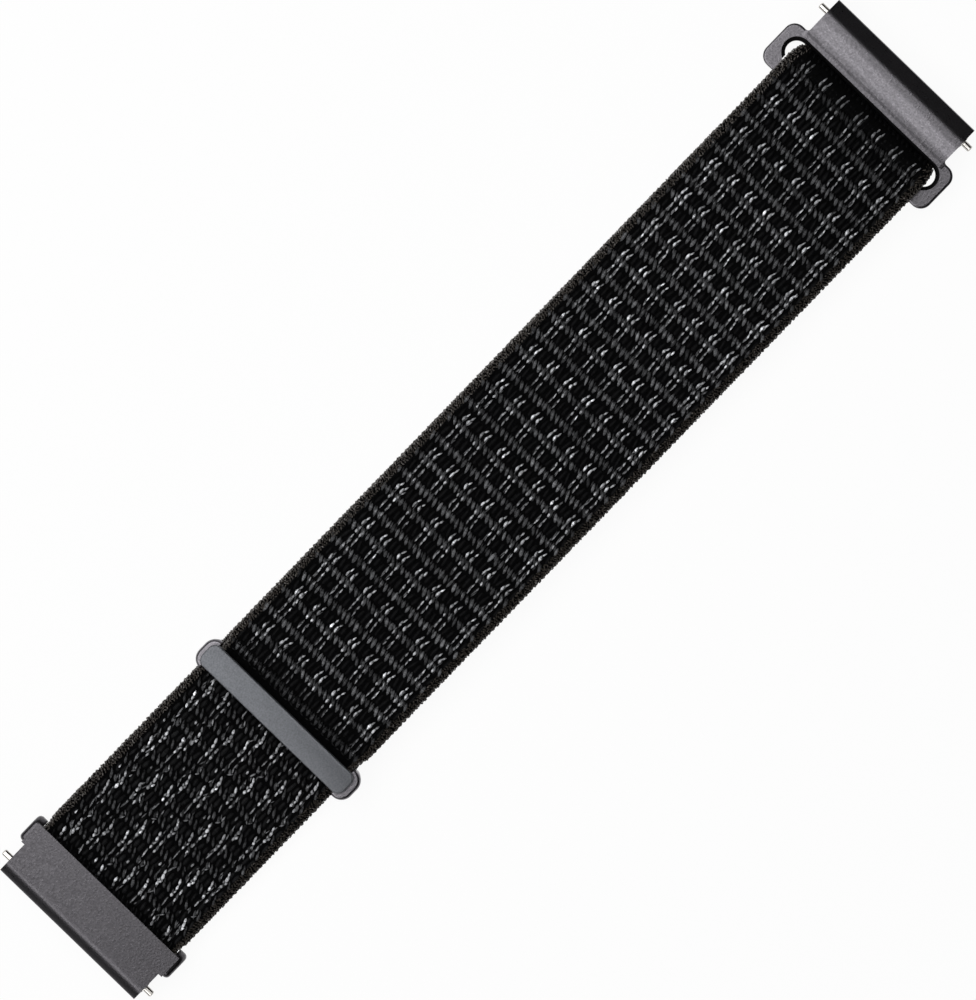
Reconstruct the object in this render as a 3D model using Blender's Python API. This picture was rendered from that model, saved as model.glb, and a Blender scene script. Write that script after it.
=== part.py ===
"""A woven hook-and-loop watch strap with two metal lug adapters and a metal keeper.

+X runs along the strap from the fixed end to the slotted end, +Z is up, and the strap lies on z = 0.
The webbing is one strip. Its five solids are the stretches of it that move apart or change length.
"""

import math

import bmesh
import bpy
from mathutils import Matrix, Vector

MM = 0.001

# The whole strap and the lugs that it fits between
STRAP_LENGTH = 141.0 * MM
LUG_GAP = 22.0 * MM
LUG_CLEARANCE = 0.1 * MM

# The webbing
WEB_WIDTH = 21.8 * MM
WEB_THICKNESS = 1.2 * MM
SEWN_DRAW_IN = 0.4 * MM
SEWN_THICKNESS = 0.6 * MM
LAYER_GAP = 0.15 * MM
JOIN_GAP = 0.3 * MM
STATION_STEP = 1.1 * MM
LOOP_STEPS = 12

# The sewing thread and its rows
THREAD_RADIUS = 0.125 * MM
THREAD_GAP = 0.05 * MM
SEAM_SIDE_MARGIN = 1.1 * MM
FIXED_SEAM_LENGTH = 4.6 * MM
FREE_SEAM_LENGTH = 1.8 * MM
SEAM_CORNER_RADIUS = 0.5 * MM
THREAD_SIDES = 6
SEAM_CORNER_STEPS = 3

# Pins and bars of both sewn loops
LOOP_SLACK = 0.1 * MM
PIN_HOLE_CLEARANCE = 0.06 * MM
LOOP_PIN_RADIUS = 0.5 * MM
KEEPER_BAR_RADIUS = 0.4 * MM
PIN_END_INSET = 0.25 * MM
PIN_END_CHAMFER = 0.12 * MM
PIN_SIDES = 20

# The left adapter, a T seen from above
LEFT_SPRING_BAR_INSET = 1.74 * MM
LOOP_PIN_INSET = 6.1 * MM
PLATE_LENGTH = 7.27 * MM
PLATE_THICKNESS = 0.8 * MM
POCKET_CLEARANCE = 0.2 * MM
POCKET_END_DEG = 225
LEFT_LOWER_ROUND = 1.5 * MM
LEFT_UPPER_ROUND = 0.8 * MM
CHEEK_START_INSET = 4.3 * MM
CHEEK_END_INSET = 7.9 * MM
CHEEK_CLEARANCE = 0.3 * MM
CHEEK_THICKNESS = 1.25 * MM
CHEEK_SHOULDER = 0.65 * MM
CHEEK_BOTTOM = 0.25 * MM
CHEEK_TOP_DROP = 0.25 * MM
CHEEK_NOSE_ROUND = 1.4 * MM
CHEEK_SIDE_ROUND = 0.5 * MM
ARC_STEPS = 8

# The right adapter: an outer bar, a slot and a barrel
BARREL_DIAMETER = 3.8 * MM
RIGHT_BODY_LENGTH = 5.96 * MM
SLOT_LENGTH = 3.6 * MM
SLOT_SIDE_CLEARANCE = 1.15 * MM
OUTER_BAR = 1.64 * MM
FRAME_SIDE_WALL = 1.1 * MM
FRAME_EAR_LENGTH = 6.05 * MM
FRAME_THICKNESS = 1.2 * MM
FRAME_CORNER_RADIUS = 1.4 * MM
FRAME_EDGE_CHAMFER = 0.3 * MM
RIM_HEIGHT = 0.2 * MM
CROWN_STEPS = 6
FOLD_INNER_RADIUS = 1.0 * MM
FOLD_REACH = 3.85 * MM
CORNER_STEPS = 6

# The spring bars
SPRING_BAR_RADIUS = 0.75 * MM
SPRING_BAR_WALL = 0.2 * MM
BORE_CLEARANCE = 0.1 * MM
INNER_CLEARANCE = 0.08 * MM
TUBE_END_INSET = 0.5 * MM
TUBE_COLLAR = 0.08 * MM
TIP_RADIUS = 0.4 * MM
TIP_REACH = 1.2 * MM
TIP_CHAMFER = 0.12 * MM
PLUG_LENGTH = 2.0 * MM
ROD_LENGTH = 8.4 * MM
COLLAR_GAP = 0.1 * MM
RELEASE_TRAVEL = 1.2 * MM
KNOB_INSET = 3.6 * MM
KNOB_NECK_WIDTH = 0.8 * MM
KNOB_HEAD_WIDTH = 1.3 * MM
KNOB_HEAD_LENGTH = 1.6 * MM
KNOB_HEAD_SHARE = 0.55
KNOB_FLOOR_GAP = 0.15 * MM
KNOB_CLEARANCE = 0.15 * MM
KNOB_EDGE_CHAMFER = 0.12 * MM
SPRING_WIRE_RADIUS = 0.11 * MM
SPRING_END_GAP = 0.1 * MM
SPRING_TURNS = 10
POINTS_PER_TURN = 8
WIRE_SIDES = 5

# The keeper and the free end
KEEPER_INSET = 35.6 * MM
KEEPER_LENGTH = 4.2 * MM
KEEPER_CHEEK = 1.25 * MM
KEEPER_CORNER_RADIUS = 2.0 * MM
KEEPER_BASE_THICKNESS = 0.6 * MM
KEEPER_EDGE_CHAMFER = 0.2 * MM
CHANNEL_CLEARANCE = 0.2 * MM
FACE_LENGTH = 3.15 * MM
FACE_SEAT = 0.55 * MM
FACE_CORNER_RADIUS = 1.3 * MM
FACE_THICKNESS = 0.7 * MM
FACE_GAP = 0.1 * MM
FACE_EDGE_CHAMFER = 0.15 * MM
LIFTED_LENGTH = 39.0 * MM
LIFT_DROP_LENGTH = 26.0 * MM
FREE_TAIL_LENGTH = 8.9 * MM
FREE_END_LENGTH = 43.0 * MM
HOOK_LENGTH = 30.0 * MM
HOOK_SIDE_MARGIN = 0.2 * MM
HOOK_THICKNESS = 0.5 * MM

# The sewn tail at the left, and where the other stretches begin
FIXED_TAIL_LENGTH = 7.6 * MM
FIXED_END_LENGTH = 9.4 * MM
FIXED_THICKEN_LENGTH = 4.0 * MM
FIXED_DROP_LENGTH = 5.4 * MM
FOLD_LEG_LENGTH = 9.8 * MM
FOLD_DROP_LENGTH = 12.5 * MM
FOLD_FLAT_LENGTH = 1.6 * MM

# One overrun serves every cutter
OVERRUN = 1.0 * MM

# Derived places along the strap
BODY_WIDTH = LUG_GAP - 2 * LUG_CLEARANCE
LEFT_EDGE_X = -STRAP_LENGTH / 2
RIGHT_EDGE_X = STRAP_LENGTH / 2
THREAD_ROOM = 2 * THREAD_RADIUS + 2 * THREAD_GAP
SEWN_WIDTH = WEB_WIDTH - 2 * SEWN_DRAW_IN

LOOP_INNER_RADIUS = LOOP_PIN_RADIUS + LOOP_SLACK
LOOP_OUTER_RADIUS = LOOP_INNER_RADIUS + SEWN_THICKNESS
POCKET_RADIUS = LOOP_OUTER_RADIUS + POCKET_CLEARANCE
LOOP_PIN_X = LEFT_EDGE_X + LOOP_PIN_INSET
LOOP_PIN_Z = THREAD_ROOM + LOOP_OUTER_RADIUS
LEFT_HEIGHT = LOOP_PIN_Z + POCKET_RADIUS + PLATE_THICKNESS
LEFT_BAR_X = LEFT_EDGE_X + LEFT_SPRING_BAR_INSET
LEFT_BAR_Z = LEFT_HEIGHT / 2
CHEEK_INNER_WIDTH = SEWN_WIDTH + 2 * CHEEK_CLEARANCE
CHEEK_OUTER_WIDTH = CHEEK_INNER_WIDTH + 2 * CHEEK_THICKNESS
PLATE_EAR_WIDTH = CHEEK_OUTER_WIDTH - 2 * CHEEK_SHOULDER

SLOT_END_X = RIGHT_EDGE_X - RIGHT_BODY_LENGTH
SLOT_START_X = SLOT_END_X - SLOT_LENGTH
SLOT_WIDTH = WEB_WIDTH + 2 * SLOT_SIDE_CLEARANCE
FRAME_WIDTH = SLOT_WIDTH + 2 * FRAME_SIDE_WALL
FRAME_START_X = SLOT_START_X - OUTER_BAR
OUTER_BAR_X = FRAME_START_X + OUTER_BAR / 2
FRAME_Z = WEB_THICKNESS + FOLD_INNER_RADIUS
FOLD_OUTER_RADIUS = FOLD_INNER_RADIUS + WEB_THICKNESS
FOLD_CENTRE_X = OUTER_BAR_X + FOLD_REACH - FOLD_OUTER_RADIUS
BARREL_RADIUS = BARREL_DIAMETER / 2
RIGHT_BAR_X = RIGHT_EDGE_X - BARREL_RADIUS
RIGHT_BAR_Z = BARREL_RADIUS

KEEPER_X = LEFT_EDGE_X + KEEPER_INSET
CHANNEL_WIDTH = WEB_WIDTH + 2 * CHANNEL_CLEARANCE
KEEPER_WIDTH = CHANNEL_WIDTH + 2 * KEEPER_CHEEK
FACE_WIDTH = CHANNEL_WIDTH + 2 * FACE_SEAT
HOOK_WIDTH = SEWN_WIDTH - 2 * HOOK_SIDE_MARGIN
RUN_LIFT = KEEPER_BASE_THICKNESS + LAYER_GAP
KEEPER_LOOP_INNER = KEEPER_BAR_RADIUS + LOOP_SLACK
KEEPER_LOOP_OUTER = KEEPER_LOOP_INNER + SEWN_THICKNESS
KEEPER_BAR_Z = RUN_LIFT + WEB_THICKNESS + LAYER_GAP + KEEPER_LOOP_OUTER
KEEPER_CHEEK_TOP = KEEPER_BAR_Z + KEEPER_LOOP_OUTER + LAYER_GAP
HOOK_Z = RUN_LIFT + WEB_THICKNESS + LAYER_GAP
UPPER_Z = HOOK_Z + HOOK_THICKNESS + LAYER_GAP + WEB_THICKNESS / 2
FREE_TAIL_END_X = KEEPER_X + FREE_TAIL_LENGTH
FREE_END_X = KEEPER_X + FREE_END_LENGTH
FOLD_START_X = OUTER_BAR_X - FOLD_LEG_LENGTH
FIXED_END_X = LOOP_PIN_X + FIXED_END_LENGTH


def clear_scene():
    for item in list(bpy.data.objects):
        bpy.data.objects.remove(item, do_unlink=True)


def finish(name, colour, roughness, metallic):
    """A plain material with one colour."""
    material = bpy.data.materials.new(name)
    material.use_nodes = True
    shader = material.node_tree.nodes["Principled BSDF"]
    shader.inputs["Base Color"].default_value = (*colour, 1.0)
    shader.inputs["Roughness"].default_value = roughness
    shader.inputs["Metallic"].default_value = metallic
    return material


def pivot(name, place, parent=None):
    """An empty on a joint's axis, which the joint's pieces hang from."""
    empty = bpy.data.objects.new(name, None)
    empty.empty_display_size = LUG_GAP / 4
    bpy.context.collection.objects.link(empty)
    empty.location = place
    if parent:
        empty.parent = parent
        empty.location = Vector(place) - world_place(parent)
    return empty


def world_place(item):
    """Where a pivot is in the world; no pivot is turned."""
    place = Vector(item.location)
    while item.parent:
        item = item.parent
        place += item.location
    return place


def seat(item, carrier, material):
    """Hangs a piece, which was drawn in world places, from its pivot."""
    item.data.transform(Matrix.Translation(-world_place(carrier)))
    item.parent = carrier
    item.data.materials.append(material)
    return item


def loft(name, rings, closed=False):
    """A solid through rings of equally many points. A closed one joins its last ring to its first."""
    shape = bmesh.new()
    rows = [[shape.verts.new(point) for point in ring] for ring in rings]
    pairs = list(zip(rows, rows[1:]))
    if closed:
        pairs.append((rows[-1], rows[0]))
    else:
        shape.faces.new(rows[0])
        shape.faces.new(rows[-1])
    for near, far in pairs:
        for i in range(len(near)):
            j = (i + 1) % len(near)
            shape.faces.new((near[i], near[j], far[j], far[i]))
    bmesh.ops.recalc_face_normals(shape, faces=shape.faces)
    mesh = bpy.data.meshes.new(name)
    shape.to_mesh(mesh)
    shape.free()
    mesh.shade_smooth()
    mesh.set_sharp_from_angle(angle=math.radians(35))
    item = bpy.data.objects.new(name, mesh)
    bpy.context.collection.objects.link(item)
    return item


def as_tool(item):
    """Hides a cutter, or a solid that is only joined into another."""
    item.hide_render = True
    item.display_type = "WIRE"
    return item


def combine(item, tool, operation):
    modifier = item.modifiers.new(tool.name, "BOOLEAN")
    modifier.operation = operation
    modifier.object = as_tool(tool)


def arc(centre, radius, start_deg, end_deg, steps=ARC_STEPS):
    """Points on an arc, in the plane of its centre's two values."""
    points = []
    for i in range(steps + 1):
        angle = math.radians(start_deg + (end_deg - start_deg) * i / steps)
        points.append((centre[0] + radius * math.cos(angle), centre[1] + radius * math.sin(angle)))
    return points


def across(outline, width):
    """Rings of an (x, z) outline at both ends of a width centred on y = 0."""
    return [[(x, y, z) for x, z in outline] for y in (-width / 2, width / 2)]


def round_section(x, z, y, radius, sides=PIN_SIDES):
    """One ring round an axis along Y, with a flat on top and below."""
    ring = []
    for i in range(sides):
        angle = 2 * math.pi * (i + 0.5) / sides
        ring.append((x + radius * math.cos(angle), y, z + radius * math.sin(angle)))
    return ring


def turned(name, x, z, profile, closed=False):
    """A piece turned about an axis along Y, from (y, radius) pairs."""
    return loft(name, [round_section(x, z, y, radius) for y, radius in profile], closed)


def rounded_rectangle(length, width, radius, steps=CORNER_STEPS):
    """The outline, in (x, y), of a rectangle centred on zero."""
    outline = []
    corners = ((1, 1, 0), (-1, 1, 90), (-1, -1, 180), (1, -1, 270))
    for side_x, side_y, start in corners:
        centre = (side_x * (length / 2 - radius), side_y * (width / 2 - radius))
        outline += arc(centre, radius, start, start + 90, steps)
    return outline


def plate_rings(x, length, width, radius, levels):
    """Rings of a rounded rectangle centred on (x, 0), at (z, inset) levels."""
    rings = []
    for z, inset in levels:
        outline = rounded_rectangle(length - 2 * inset, width - 2 * inset, radius - inset)
        rings.append([(x + px, py, z) for px, py in outline])
    return rings


def block(name, x, y, z):
    """A box between two values along each axis."""
    corners = ((x[0], y[0]), (x[1], y[0]), (x[1], y[1]), (x[0], y[1]))
    return loft(name, [[(px, py, pz) for px, py in corners] for pz in z])


def ease(share):
    """From 0 to 1 with level ends."""
    share = min(max(share, 0.0), 1.0)
    return (1 - math.cos(math.pi * share)) / 2


def between(x, start, length, low, high):
    """Goes smoothly from one value to another along a length of the strap."""
    return low + (high - low) * ease((x - start) / length)


def stations(start, end):
    """Evenly spaced places along the strap."""
    count = max(2, math.ceil(abs(end - start) / STATION_STEP))
    return [start + (end - start) * i / count for i in range(count + 1)]


def ribbon(name, path, width):
    """Webbing through (x, z, thickness) stations along its middle."""
    rings = []
    for i, (x, z, thickness) in enumerate(path):
        before, after = path[max(i - 1, 0)], path[min(i + 1, len(path) - 1)]
        along = Vector((after[0] - before[0], after[1] - before[1])).normalized()
        offset = Vector((-along.y, along.x)) * thickness / 2
        top, low = (x + offset.x, z + offset.y), (x - offset.x, z - offset.y)
        ring = [(top[0], -1, top[1]), (top[0], 1, top[1]), (low[0], 1, low[1]), (low[0], -1, low[1])]
        rings.append([(px, side * width / 2, pz) for px, side, pz in ring])
    return loft(name, rings)


def lower_z(x):
    """The middle of the lower run: down from the sewn tail, level where the keeper's base slides
    under it, and down to the flat leg of the fold."""
    rest = WEB_THICKNESS / 2
    drop_start = LOOP_PIN_X + FIXED_TAIL_LENGTH
    z = between(x, drop_start, FIXED_DROP_LENGTH, fixed_top_z(), rest + RUN_LIFT)
    return z - between(x, KEEPER_X + LIFTED_LENGTH, LIFT_DROP_LENGTH, 0, RUN_LIFT)


def fixed_top_z():
    """The middle of the full webbing where it lies on the sewn tail."""
    tail_top = THREAD_ROOM + SEWN_THICKNESS
    return tail_top + LAYER_GAP + WEB_THICKNESS / 2


def fixed_end():
    """The sewn tail, the loop round the pin, and the start of the lower run."""
    middle = LOOP_INNER_RADIUS + SEWN_THICKNESS / 2
    tail_end = LOOP_PIN_X + FIXED_TAIL_LENGTH
    path = [(x, LOOP_PIN_Z - middle, SEWN_THICKNESS) for x in stations(tail_end, LOOP_PIN_X)[:-1]]
    loop = arc((LOOP_PIN_X, LOOP_PIN_Z), middle, 270, 90, LOOP_STEPS)
    path += [(x, z, SEWN_THICKNESS) for x, z in loop]
    plate_edge = LEFT_EDGE_X + PLATE_LENGTH
    for x in stations(plate_edge, FIXED_END_X):
        share = ease((x - plate_edge) / FIXED_THICKEN_LENGTH)
        thickness = SEWN_THICKNESS + (WEB_THICKNESS - SEWN_THICKNESS) * share
        high = LOOP_PIN_Z + middle
        path.append((x, lower_z(x) + (high - fixed_top_z()) * (1 - share), thickness))
    return ribbon("webbing_fixed_end", path, SEWN_WIDTH)


def lower_run():
    """From the fixed end, over the keeper's base, to the fold's lower leg."""
    places = stations(FIXED_END_X + JOIN_GAP, FOLD_START_X - JOIN_GAP)
    return ribbon("webbing_lower_run", [(x, lower_z(x), WEB_THICKNESS) for x in places], WEB_WIDTH)


def upper_z(x):
    """The middle of the upper run: flat, then up to the top of the fold."""
    rise_end = OUTER_BAR_X - FOLD_FLAT_LENGTH
    high = FRAME_Z + FOLD_INNER_RADIUS + WEB_THICKNESS / 2
    return between(x, rise_end - FOLD_DROP_LENGTH, FOLD_DROP_LENGTH, UPPER_Z, high)


def fold():
    """Under the outer bar, up through the slot and back over the bar."""
    path = [(x, lower_z(x), WEB_THICKNESS) for x in stations(FOLD_START_X, FOLD_CENTRE_X)[:-1]]
    turn = arc((FOLD_CENTRE_X, FRAME_Z), FOLD_INNER_RADIUS + WEB_THICKNESS / 2, -90, 90, LOOP_STEPS)
    path += [(x, z, WEB_THICKNESS) for x, z in turn]
    path += [(x, upper_z(x), WEB_THICKNESS) for x in stations(FOLD_CENTRE_X, FOLD_START_X)[1:]]
    return ribbon("webbing_fold", path, WEB_WIDTH)


def upper_run():
    """Between the free end and the fold."""
    places = stations(FREE_END_X + JOIN_GAP, FOLD_START_X - JOIN_GAP)
    return ribbon("webbing_upper_run", [(x, upper_z(x), WEB_THICKNESS) for x in places], WEB_WIDTH)


def free_end_layer(x):
    """The free end's upper layer at one place: the z of its middle, and its thickness."""
    start = KEEPER_X + KEEPER_LOOP_INNER
    share = ease((x - start) / (FREE_TAIL_LENGTH - KEEPER_LOOP_INNER))
    high = KEEPER_BAR_Z + KEEPER_LOOP_INNER + SEWN_THICKNESS / 2
    thickness = SEWN_THICKNESS + (WEB_THICKNESS - SEWN_THICKNESS) * share
    return high + (UPPER_Z - high) * share, thickness


def free_tail_z(x):
    """The middle of the tail that is sewn under the free end."""
    return lower_z(x) + WEB_THICKNESS / 2 + LAYER_GAP + SEWN_THICKNESS / 2


def free_end():
    """The tail, the loop round the keeper's bar, and the upper layer over the hook patch."""
    middle = KEEPER_LOOP_INNER + SEWN_THICKNESS / 2
    path = [(x, free_tail_z(x), SEWN_THICKNESS) for x in stations(FREE_TAIL_END_X, KEEPER_X)[:-1]]
    turn = arc((KEEPER_X, KEEPER_BAR_Z), middle, 270, 90, LOOP_STEPS)
    path += [(x, z, SEWN_THICKNESS) for x, z in turn]
    path += [(x, *free_end_layer(x)) for x in stations(KEEPER_X, FREE_END_X)[1:]]
    return ribbon("webbing_free_end", path, SEWN_WIDTH)


def hook_patch():
    """The hook side of the closure, on the underside of the free end."""
    start = FREE_TAIL_END_X + JOIN_GAP
    y = HOOK_WIDTH / 2
    return block("hook_patch", (start, start + HOOK_LENGTH), (-y, y), (HOOK_Z, HOOK_Z + HOOK_THICKNESS))


def seam(name, start, length, height):
    """One closed row of thread, a rounded rectangle that lies on or under the webbing."""
    width = SEWN_WIDTH - 2 * SEAM_SIDE_MARGIN
    outline = rounded_rectangle(length, width, SEAM_CORNER_RADIUS, SEAM_CORNER_STEPS)
    rings = []
    for i, (px, py) in enumerate(outline):
        before, after = outline[i - 1], outline[(i + 1) % len(outline)]
        along = Vector((after[0] - before[0], after[1] - before[1])).normalized()
        outward = Vector((along.y, -along.x))
        x = start + length / 2 + px
        ring = []
        for step in range(THREAD_SIDES):
            angle = 2 * math.pi * step / THREAD_SIDES
            reach = outward * THREAD_RADIUS * math.cos(angle)
            ring.append((x + reach.x, py + reach.y, height(x) + THREAD_RADIUS * math.sin(angle)))
        rings.append(ring)
    return loft(name, rings, closed=True)


def fixed_seam():
    """The thread's row on the underside of the sewn tail."""
    start = LOOP_PIN_X + FIXED_TAIL_LENGTH - FIXED_SEAM_LENGTH - SEAM_CORNER_RADIUS
    return seam("fixed_end_seam", start, FIXED_SEAM_LENGTH, lambda x: THREAD_ROOM / 2)


def free_seam():
    """The thread's rows on top of the free end, beside the keeper's face plate."""

    def height(x):
        z, thickness = free_end_layer(x)
        slope = (free_end_layer(x + STATION_STEP)[0] - z) / STATION_STEP
        return z + thickness / 2 * math.hypot(1, slope) + THREAD_GAP + THREAD_RADIUS * math.hypot(1, slope)

    start = KEEPER_X + KEEPER_LENGTH / 2
    return seam("free_end_seam", start, FREE_SEAM_LENGTH, height)


def left_profile():
    """The left adapter's body in (x, z): barrel end, top plate and the pocket round the loop."""
    lower = (LEFT_EDGE_X + LEFT_LOWER_ROUND, LEFT_LOWER_ROUND)
    upper = (LEFT_EDGE_X + LEFT_UPPER_ROUND, LEFT_HEIGHT - LEFT_UPPER_ROUND)
    plate_edge = LEFT_EDGE_X + PLATE_LENGTH
    outline = arc(lower, LEFT_LOWER_ROUND, 270, 180) + arc(upper, LEFT_UPPER_ROUND, 180, 90)
    outline += [(plate_edge, LEFT_HEIGHT), (plate_edge, LOOP_PIN_Z + POCKET_RADIUS)]
    outline += arc((LOOP_PIN_X, LOOP_PIN_Z), POCKET_RADIUS, 90, POCKET_END_DEG)
    mouth = LOOP_PIN_Z / math.tan(math.radians(POCKET_END_DEG - 180))
    outline.append((LOOP_PIN_X - mouth, 0))
    return outline


def cheek(side):
    """A cheek beside the loop, which holds one end of the pin."""
    start, end = LEFT_EDGE_X + CHEEK_START_INSET, LEFT_EDGE_X + CHEEK_END_INSET
    low, high = CHEEK_BOTTOM, LEFT_HEIGHT - CHEEK_TOP_DROP
    rings = []
    inner, outer = CHEEK_INNER_WIDTH / 2, CHEEK_OUTER_WIDTH / 2
    for y, inset in ((inner, 0), (outer - CHEEK_SIDE_ROUND, 0), (outer, CHEEK_SIDE_ROUND)):
        radius = CHEEK_NOSE_ROUND - inset
        nose_x = end - CHEEK_NOSE_ROUND
        outline = [(start + inset, low + inset)]
        outline += arc((nose_x, low + CHEEK_NOSE_ROUND), radius, 270, 360)
        outline += arc((nose_x, high - CHEEK_NOSE_ROUND), radius, 0, 90)
        outline.append((start + inset, high - inset))
        rings.append([(x, side * y, z) for x, z in outline])
    return loft(f"cheek_{side}", rings)


def knob_room(name, x, z, neck):
    """The cutter for the knob's way through a barrel, or for its neck's way through a tube."""
    half = (KNOB_NECK_WIDTH if neck else KNOB_HEAD_WIDTH) / 2 + KNOB_CLEARANCE
    y = knob_y()
    start = y - KNOB_HEAD_LENGTH / 2 - KNOB_CLEARANCE
    end = y + KNOB_HEAD_LENGTH / 2 + RELEASE_TRAVEL + KNOB_CLEARANCE
    return block(name, (x - half, x + half), (start, end), (-OVERRUN, z))


def knob_y():
    return -BODY_WIDTH / 2 + KNOB_INSET


def bore(name, x, z):
    reach = BODY_WIDTH / 2 + OVERRUN
    radius = SPRING_BAR_RADIUS + BORE_CLEARANCE
    return turned(name, x, z, [(-reach, radius), (reach, radius)])


def left_adapter():
    item = loft("left_adapter", across(left_profile(), BODY_WIDTH))
    start, end = LEFT_EDGE_X + CHEEK_START_INSET, LEFT_EDGE_X + PLATE_LENGTH
    y = PLATE_EAR_WIDTH / 2
    wing = block("left_wing", (start, end), (-y, y), (LEFT_HEIGHT - PLATE_THICKNESS, LEFT_HEIGHT))
    combine(item, wing, "UNION")
    combine(item, cheek(-1), "UNION")
    combine(item, cheek(1), "UNION")
    reach = CHEEK_OUTER_WIDTH / 2 + OVERRUN
    hole = LOOP_PIN_RADIUS + PIN_HOLE_CLEARANCE
    pin_hole = turned("left_pin_hole", LOOP_PIN_X, LOOP_PIN_Z, [(-reach, hole), (reach, hole)])
    combine(item, pin_hole, "DIFFERENCE")
    combine(item, bore("left_bore", LEFT_BAR_X, LEFT_BAR_Z), "DIFFERENCE")
    combine(item, knob_room("left_knob_room", LEFT_BAR_X, LEFT_BAR_Z, False), "DIFFERENCE")
    return item


def right_profile():
    """The right adapter's body in (x, z): a crowned top that runs into the barrel, and a sloping belly."""
    frame_top = FRAME_Z + FRAME_THICKNESS / 2
    frame_low = FRAME_Z - FRAME_THICKNESS / 2
    edge = frame_top + RIM_HEIGHT
    run = RIGHT_BAR_X - SLOT_END_X
    outline = [(SLOT_END_X, frame_low)]
    for i in range(CROWN_STEPS):
        share = i / CROWN_STEPS
        crown = edge + (BARREL_DIAMETER - edge) * math.sin(share * math.pi / 2)
        outline.append((SLOT_END_X + share * run, crown))
    outline += arc((RIGHT_BAR_X, BARREL_RADIUS), BARREL_RADIUS, 90, -90, 2 * ARC_STEPS)
    for i in range(1, CROWN_STEPS):
        share = i / CROWN_STEPS
        outline.append((RIGHT_BAR_X - share * run, frame_low * ease(share)))
    return outline


def right_adapter():
    item = loft("right_adapter", across(right_profile(), BODY_WIDTH))
    half, chamfer = FRAME_THICKNESS / 2, FRAME_EDGE_CHAMFER
    levels = [(FRAME_Z - half, chamfer), (FRAME_Z - half + chamfer, 0)]
    levels += [(FRAME_Z + half - chamfer, 0), (FRAME_Z + half, chamfer)]
    frame_x = FRAME_START_X + FRAME_EAR_LENGTH / 2
    rings = plate_rings(frame_x, FRAME_EAR_LENGTH, FRAME_WIDTH, FRAME_CORNER_RADIUS, levels)
    combine(item, loft("right_frame", rings), "UNION")
    flare = chamfer + OVERRUN
    levels = [(FRAME_Z - half - OVERRUN, -flare), (FRAME_Z - half + chamfer, 0)]
    levels += [(FRAME_Z + half - chamfer, 0), (FRAME_Z + half + OVERRUN, -flare)]
    rings = plate_rings((SLOT_START_X + SLOT_END_X) / 2, SLOT_LENGTH, SLOT_WIDTH, SLOT_LENGTH / 2, levels)
    combine(item, loft("right_slot", rings), "DIFFERENCE")
    combine(item, bore("right_bore", RIGHT_BAR_X, RIGHT_BAR_Z), "DIFFERENCE")
    combine(item, knob_room("right_knob_room", RIGHT_BAR_X, RIGHT_BAR_Z, False), "DIFFERENCE")
    return item


def plain_pin(name, x, z, radius, length):
    half = length / 2
    profile = [(-half, radius - PIN_END_CHAMFER), (-half + PIN_END_CHAMFER, radius)]
    profile += [(-y, r) for y, r in reversed(profile)]
    return turned(name, x, z, profile)


def spring_bar(side_name, x, z):
    """The tube, fixed tip, spring, sliding pin and knob of one adapter's spring bar."""
    end = BODY_WIDTH / 2
    outer, inner = SPRING_BAR_RADIUS, SPRING_BAR_RADIUS - SPRING_BAR_WALL
    tube_start, tube_end = -end - TUBE_COLLAR, end - TUBE_END_INSET
    wall = [(tube_start, outer), (tube_end, outer), (tube_end, inner), (tube_start, inner)]
    tube = turned(f"{side_name}_spring_bar_tube", x, z, wall, closed=True)
    combine(tube, knob_room(f"{side_name}_neck_room", x, z, True), "DIFFERENCE")

    slim = inner - INNER_CLEARANCE
    plug_start = tube_end - PLUG_LENGTH
    collar_start = tube_end + COLLAR_GAP
    tip_end = end + TIP_REACH
    profile = [(plug_start, slim), (collar_start, slim), (collar_start, outer), (end, outer)]
    profile += [(end, TIP_RADIUS), (tip_end - TIP_CHAMFER, TIP_RADIUS), (tip_end, TIP_RADIUS - TIP_CHAMFER)]
    fixed = turned(f"{side_name}_fixed_tip", x, z, profile)

    rod_start = tube_start + COLLAR_GAP + RELEASE_TRAVEL / 4
    rod_end = rod_start + ROD_LENGTH
    profile = [(-tip_end, TIP_RADIUS - TIP_CHAMFER), (TIP_CHAMFER - tip_end, TIP_RADIUS)]
    profile += [(rod_start, TIP_RADIUS), (rod_start, slim), (rod_end, slim)]
    pin = turned(f"{side_name}_release_pin", x, z, profile)

    knob = release_knob(f"{side_name}_release_knob", x, z, slim)
    coil = spring(f"{side_name}_spring", x, z, rod_end, plug_start, inner - INNER_CLEARANCE)
    return tube, fixed, pin, knob, coil


def release_knob(name, x, z, rod_radius):
    """A neck through the tube and a head in the barrel's recess."""
    y = knob_y()
    top = z - rod_radius - COLLAR_GAP
    shoulder = KNOB_FLOOR_GAP + (top - KNOB_FLOOR_GAP) * KNOB_HEAD_SHARE
    neck, head, chamfer = KNOB_NECK_WIDTH / 2, KNOB_HEAD_WIDTH / 2, KNOB_EDGE_CHAMFER
    neck_y, head_y = KNOB_NECK_WIDTH / 2, KNOB_HEAD_LENGTH / 2
    sections = [(KNOB_FLOOR_GAP, head - chamfer, head_y - chamfer), (KNOB_FLOOR_GAP + chamfer, head, head_y)]
    sections += [(shoulder, head, head_y), (shoulder, neck, neck_y), (top, neck, neck_y)]
    corners = ((-1, -1), (1, -1), (1, 1), (-1, 1))
    return loft(name, [[(x + sx * a, y + sy * b, pz) for sx, sy in corners] for pz, a, b in sections])


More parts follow.
